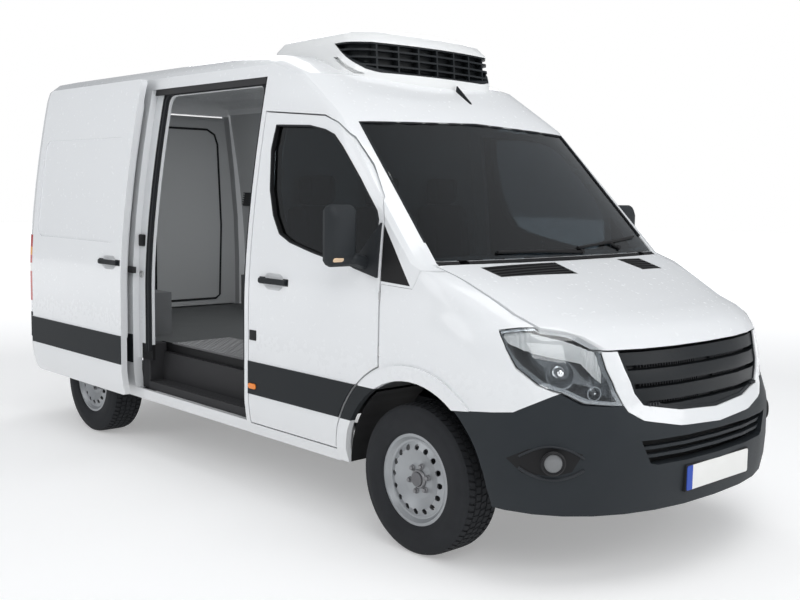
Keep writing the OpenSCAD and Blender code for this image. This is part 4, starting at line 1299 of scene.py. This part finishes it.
@dataclass
class LoadSpace:
    """Gaskets, vent and kick plates of the cooled space."""

    gasket: tuple[Flat, ...] = ((0.055, 0.79), (0.055, 2.13), (0.105, 2.18), (0.545, 2.18), (0.615, 2.14),
                                (0.645, 2.06), (0.680, 1.38), (0.665, 0.79), (0.625, 0.76), (0.085, 0.76))
    vent: Flat = (-2.42, 1.61)

    def build(self) -> None:
        """Adds the pieces."""
        rubber = Rubber("gasket_rubber")
        for side in Side:
            name, sign = side.label, side.value
            inner = max(corner[0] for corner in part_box(f"rear_door_{name}"))
            mesh = bmesh.new()
            add_tube(mesh, [(inner + 0.001, y * sign, z) for y, z in self.gasket], 0.009, True, 10)
            piece_from(mesh, f"gasket_{name}", f"rear_door_{name}", rubber)
        vent, kick, wall = bmesh.new(), bmesh.new(), Surface("side_left")
        found = wall.hit((self.vent[0], 0.0, self.vent[1]), TO_LEFT)
        if found is not None:
            place = looking((found[0].x, found[0].y + SINK, self.vent[1]), TO_RIGHT)
            add_prism(vent, rounded(0.20, 0.125, 0.008), 0.008, place, 0.002)
            for k in range(6):
                add_prism(vent, rounded(0.176, 0.008, 0.003), 0.014,
                          place @ Matrix.Translation((0.0, -0.048 + 0.019 * k, 0.0)))
            piece_from(vent, "wall_vent", "van", Plastic("vent_grey", (0.07, 0.072, 0.076), 0.5))
        for x in (-0.6, -0.2):
            found = wall.hit((x, 0.0, 0.80), TO_LEFT)
            if found is not None:
                add_prism(kick, rounded(0.38, 0.17, 0.006), 0.004,
                          looking((x, found[0].y + 0.001, 0.795), TO_RIGHT), 0.001)
        piece_from(kick, "kick_plates", "van", Metal("kick_metal", (0.34, 0.34, 0.34), 0.4, 0.8))


@dataclass
class Seat:
    """One padded seat, as a cushion, a back and a head restraint on a plinth."""

    y: float
    width: float = 0.44
    head_width: float = 0.26
    channel: float = 0.56  # place of the sewn channels, as a part of the half width
    cushion: tuple[Flat, ...] = (
        (-1.235, 0.885), (-1.255, 0.945), (-1.238, 1.008), (-1.180, 1.020), (-0.830, 1.048), (-0.777, 1.033),
        (-0.757, 0.990), (-0.780, 0.905), (-0.81, 0.885))
    back: tuple[Flat, ...] = (
        (-1.258, 1.02), (-1.323, 1.085), (-1.330, 1.56), (-1.311, 1.610), (-1.262, 1.604), (-1.233, 1.54),
        (-1.182, 1.18), (-1.155, 1.08), (-1.185, 1.03))
    head: tuple[Flat, ...] = (
        (-1.316, 1.604), (-1.328, 1.642), (-1.326, 1.758), (-1.299, 1.783), (-1.263, 1.776), (-1.248, 1.739),
        (-1.254, 1.642), (-1.281, 1.604))
    plinth: tuple[Flat, ...] = ((-1.225, 0.642), (-1.25, 0.888), (-0.815, 0.888), (-0.865, 0.642))

    @staticmethod
    def rounded_line(line: Sequence[Flat], rounds: int = 3) -> list[Vector]:
        """Outline with its corners cut several times.

        Args:
            line: corners of the outline in turn.
            rounds: how often they are cut.

        Returns:
            The points of the rounder outline.
        """
        points = [Vector(p) for p in line]
        for _ in range(rounds):
            points = [a.lerp(b, t) for a, b in zip(points, points[1:] + points[:1]) for t in (0.25, 0.75)]
        return points

    def pad(self, line: Sequence[Flat], width: float) -> Mesh:
        """A crowned pad with two sewn channels and sides that pull in.

        Args:
            line: side outline as (x from the front axle, z).
            width: its width.

        Returns:
            The closed mesh.
        """
        outline = self.rounded_line(line)
        count = len(outline)
        middle = sum(outline, Vector((0.0, 0.0))) / count
        mesh = bmesh.new()
        rings: list[Ring] = []
        steps = 40
        for t in (-1.0 + 2.0 * k / steps for k in range(steps + 1)):
            crown = 0.026 * abs(t) ** 8 + 0.004 * t * t
            inset = crown + 0.009 * math.exp(-((abs(t) - self.channel) / 0.035) ** 2)
            ring = []
            for i, point in enumerate(outline):
                along = (outline[(i + 1) % count] - outline[i - 1]).normalized()
                inward = Vector((-along.y, along.x))
                if inward.dot(middle - point) < 0.0:
                    inward.negate()
                at = point + inward * (inset + 0.002)
                ring.append(mesh.verts.new((st(at.x), self.y + t * (width / 2 - 0.002), at.y)))
            rings.append(ring)
        skin(mesh, rings)
        for ring in (rings[0], rings[-1]):
            centre = mesh.verts.new(sum((v.co for v in ring), Vector()) / count)
            for i in range(count):
                mesh.faces.new((ring[i], ring[(i + 1) % count], centre))
        return mesh

    def build(self, name: str, cloth: Finish, base: Finish) -> None:
        """Adds the seat's pieces.

        Args:
            name: name of the seat.
            cloth: finish of the pads.
            base: finish of the plinth.
        """
        for part, line, width in (("cushion", self.cushion, self.width), ("back", self.back, self.width - 0.02),
                                  ("head", self.head, self.head_width)):
            made = piece_from(self.pad(line, width), f"seat_{name}_{part}", "van", cloth)
            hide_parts("seats")
        plinth = bmesh.new()
        upright = Matrix(((1, 0, 0, 0), (0, 0, 1, 0), (0, 1, 0, 0), (0, 0, 0, 1)))
        inset = 0.015
        add_prism(plinth, from_axle(self.plinth), self.width - 2 * inset,
                  Matrix.Translation((0.0, self.y - self.width / 2 + inset, 0.0)) @ upright, 0.006)
        made = piece_from(plinth, f"seat_{name}_plinth", "van", base)
        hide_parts("seats")


@dataclass
class Cabin:
    """Seats and the small parts of the dashboard."""

    rows: tuple[tuple[str, float], ...] = (("right", -0.52), ("middle", -0.03), ("left", 0.48))
    vents: tuple[float, ...] = (-0.66, -0.12, 0.02, 0.72)
    dials: Flat = (0.40, 0.56)

    def build(self) -> None:
        """Adds the cab's pieces."""
        cloth, base = Cloth("seat_weave"), Plastic("seat_base", (0.03, 0.03, 0.033), 0.6)
        for name, y in self.rows:
            Seat(y).build(name, cloth, base)
        mesh = bmesh.new()
        for y in self.vents:
            place = looking((st(-0.405), y, 1.185), (-0.85, 0.0, 0.52))
            add_lathe(mesh, ((0.026, 0.0), (0.036, 0.0), (0.038, 0.006), (0.034, 0.010), (0.030, 0.007),
                             (0.026, 0.0)), place, 28)
            for k in range(3):
                add_prism(mesh, rounded(0.050, 0.005, 0.002, 2), 0.006,
                          place @ Matrix.Translation((0.0, -0.014 + 0.014 * k, 0.0)))
        piece_from(mesh, "dash_vents", "van", Plastic("dash_ring", (0.02, 0.02, 0.022), 0.4))
        dials = bmesh.new()
        for y in self.dials:
            add_lathe(dials, ((0.0, 0.002), (0.052, 0.002), (0.056, 0.008), (0.060, 0.003), (0.060, -0.004)),
                      looking((st(-0.432), y, 1.232), (-0.92, 0.0, 0.20)), 32)
        piece_from(dials, "dash_dials", "van", Plastic("dial_black", (0.015, 0.015, 0.017), 0.3))


@dataclass
class Tread:
    """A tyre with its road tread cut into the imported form."""

    profile: tuple[Flat, ...] = (
        (0.2072, 0.081), (0.2175, 0.086), (0.2175, 0.098), (0.224, 0.1045), (0.233, 0.1093), (0.243, 0.1112),
        (0.247, 0.1125), (0.262, 0.1146), (0.266, 0.1160), (0.286, 0.1172), (0.305, 0.1150), (0.309, 0.1128),
        (0.322, 0.1110), (0.334, 0.1075), (0.343, 0.1010), (0.350, 0.0935))
    blocks: tuple[Flat, ...] = (
        (0.0925, 0.0605), (0.0525, 0.0225), (0.0145, -0.0145), (-0.0225, -0.0525), (-0.0605, -0.0925))
    pitches: int = 64
    depth: float = 0.0075
    outer: float = 0.356
    shoulder: float = 0.0735  # distance from the middle where the tread begins to fall

    def crown(self, h: float) -> float:
        """Radius of the tread at a distance from its middle."""
        over = max(0.0, abs(h) - self.shoulder)
        return self.outer - 0.006 * min(1.0, over / 0.020) - 0.0002 * (h / 0.07) ** 2

    def mesh(self, x: float, y: float) -> Mesh:
        """Builds the tyre round an axle end.

        Args:
            x: place of the axle along the van.
            y: place of the tyre's middle across it.

        Returns:
            The closed mesh.
        """
        line: list[tuple[float, float, int]] = [(r, h, -1) for r, h in self.profile]
        for number, (a, b) in enumerate(self.blocks):
            if number:
                line.append((self.crown(a) - self.depth, a + 0.0015, -1))
            line += [(self.crown(h), h, number) for h in (a, (a + b) / 2, b)]
            if number < len(self.blocks) - 1:
                line.append((self.crown(b) - self.depth, b - 0.0015, -1))
        line += [(r, -h, -1) for r, h in reversed(self.profile)]
        made = bmesh.new()
        rings: list[Ring] = []
        for pitch in range(self.pitches):
            for part, low in ((0.0, False), (0.70, False), (0.74, True), (0.96, True)):
                ring = []
                for radius, h, block in line:
                    slant = 0.0
                    if block >= 0:
                        slant = 0.22 * math.sin(h * 42.0) + (0.45 if block % 2 else 0.0)
                        radius -= self.depth * (0.9 if block in (0, 4) else 0.55) if low else 0.0
                    angle = 2 * math.pi * (pitch + part + slant) / self.pitches
                    ring.append(made.verts.new((
                        x + radius * math.cos(angle), y + h, AXLE_Z + radius * math.sin(angle))))
                rings.append(ring)
        skin(made, rings + rings[:1])
        return made


@dataclass
class WheelTrim:
    """Treaded tyres, wheel bolts and hub rings."""

    places: tuple[tuple[str, float, float], ...] = (
        ("fl", FRONT_AXLE, 0.855), ("fr", FRONT_AXLE, -0.855), ("rl", REAR_AXLE, 0.855), ("rr", REAR_AXLE, -0.855))
    face: float = 0.0665  # the rim's face, out from the wheel's middle
    bolt_circle: float = 0.0625

    def build(self) -> None:
        """Adds the pieces of all four wheels."""
        rubber = Rubber("tread_rubber")
        steel = Metal("bolt_steel", (0.30, 0.30, 0.31), 0.4, 0.9, 0.4)
        for name, x, y in self.places:
            tyre = piece_from(Tread().mesh(x, y), f"tread_{name}", f"wheel_{name}", rubber)
            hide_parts(f"tyre_{name}")
            sign = math.copysign(1.0, y)
            face, out = y + self.face * sign, (0.0, sign, 0.0)
            bolts = bmesh.new()
            for k in range(6):
                angle = math.radians(60.0 * k + 15.0)
                place = looking((x + self.bolt_circle * math.cos(angle), face,
                                 AXLE_Z + self.bolt_circle * math.sin(angle)), out)
                add_lathe(bolts, ((0.0145, -0.001), (0.0145, 0.003), (0.012, 0.006), (0.0, 0.006)), place, 18)
                add_lathe(bolts, ((0.0108, 0.005), (0.0108, 0.015), (0.009, 0.017), (0.0, 0.017)), place, 6)
            add_lathe(bolts, ((0.0345, 0.0), (0.046, 0.0), (0.046, 0.005), (0.041, 0.011), (0.036, 0.012),
                              (0.0345, 0.010), (0.0345, 0.0)), looking((x, face, AXLE_Z), out), 36)
            piece_from(bolts, f"bolts_{name}", f"wheel_{name}", steel)


@dataclass
class Studio:
    """Floor, light and the camera at the photograph's angle."""

    eye: Point = (5.036, -4.226, 1.698)
    yaw: float = 137.19
    pitch: float = -6.02
    roll: float = 0.86
    lens: float = 46.73
    sky: Colour = (0.93, 0.96, 1.0)
    sky_strength: float = 0.42
    lamps: tuple[tuple[str, Point, Point, float, float], ...] = (
        ("key", (7.5, -5.5, 6.5), (1.0, 0.0, 1.0), 4.5, 195.0),
        ("front", (9.0, 3.5, 4.0), (1.5, 0.0, 1.0), 4.0, 135.0),
        ("top", (3.4, -0.6, 6.5), (1.6, -0.1, 1.0), 3.6, 120.0),
        ("side", (-2.5, -7.0, 4.0), (-0.5, 0.0, 1.2), 4.0, 95.0),
        ("back", (-6.0, 5.0, 6.0), (0.0, 0.0, 1.5), 5.0, 180.0),
        ("inside", (-0.9, 0.2, 2.15), (-1.2, 0.2, 0.7), 0.9, 9.0))

    def camera(self) -> None:
        """Makes the camera and sets it."""
        data = bpy.data.cameras.new("camera")
        data.lens = self.lens
        data.sensor_width = 36.0
        data.dof.use_dof = False
        made = add_object("camera", data)
        yaw, pitch, roll = (math.radians(a) for a in (self.yaw, self.pitch, self.roll))
        ahead = Vector((math.cos(pitch) * math.cos(yaw), math.cos(pitch) * math.sin(yaw), math.sin(pitch)))
        level = Vector((math.sin(yaw), -math.cos(yaw), 0.0))
        above = level.cross(ahead)
        right = level * math.cos(roll) + above * math.sin(roll)
        up = above * math.cos(roll) - level * math.sin(roll)
        made.matrix_world = Matrix.Translation(self.eye) @ Matrix((right, up, -ahead)).transposed().to_4x4()
        bpy.context.scene.camera = made

    def light(self, name: str, place: Point, aim: Point, size: float, power: float) -> None:
        """Adds a square soft lamp.

        Args:
            name: name of the lamp.
            place: where it hangs.
            aim: point that it looks at.
            size: length of its side.
            power: its power in watts.
        """
        data = bpy.data.lights.new(name, "AREA")
        data.size = size
        data.energy = power
        made = add_object(name, data)
        made.location = place
        made.rotation_euler = (Vector(aim) - Vector(place)).to_track_quat("-Z", "Y").to_euler()

    def world(self) -> None:
        """Sets a background that the camera sees as white, over an even studio light."""
        world = bpy.data.worlds.new("studio")
        bpy.context.scene.world = world
        world.use_nodes = True
        graph = Graph(world.node_tree)
        even = graph.tree.nodes["Background"]
        graph.feed(even.inputs["Color"], self.sky)
        graph.feed(even.inputs["Strength"], self.sky_strength)
        shown = graph.node("ShaderNodeBackground", {}, {"Color": WHITE, "Strength": 1.0})
        seen = graph.node("ShaderNodeLightPath", {}, {}, "Is Camera Ray")
        both = graph.node("ShaderNodeMixShader", {}, {0: seen, 1: even.outputs[0], 2: shown})
        graph.feed(graph.tree.nodes["World Output"].inputs[0], both)

    def floor(self) -> None:
        """Adds the pale floor."""
        mesh = bmesh.new()
        bmesh.ops.create_grid(mesh, x_segments=8, y_segments=8, size=40.0)
        data = bpy.data.meshes.new("floor")
        mesh.to_mesh(data)
        mesh.free()
        data.materials.append(Ground("floor_pale").material())
        add_object("floor", data)

    def build(self) -> None:
        """Sets up the whole studio."""
        bpy.context.scene.view_settings.view_transform = "Standard"
        self.camera()
        self.world()
        self.floor()
        for lamp in self.lamps:
            self.light(*lamp)


def clear_scene() -> None:
    """Removes the start-up objects that aren't part of the frame."""
    kept = {o.name for o in frame["nodes"].values()} | {o.name for o in frame["bodies"].values()}
    for made in list(bpy.data.objects):
        if made.name not in kept:
            bpy.data.objects.remove(made)


def main() -> None:
    """Builds the van's looks and its studio in order."""
    logging.basicConfig(level=logging.INFO, format="%(name)s: %(message)s")
    clear_scene()
    for part in (BodyShell(), FrontEnd(), Fittings(), Wheels(), FrontTrim(), SideTrim(), LoadSpace(), Cabin(),
                 WheelTrim(), Studio()):
        part.build()
        log.info("built %s", type(part).__name__)


if __name__ == "__main__":
    main()
    bpy.context.view_layer.update()
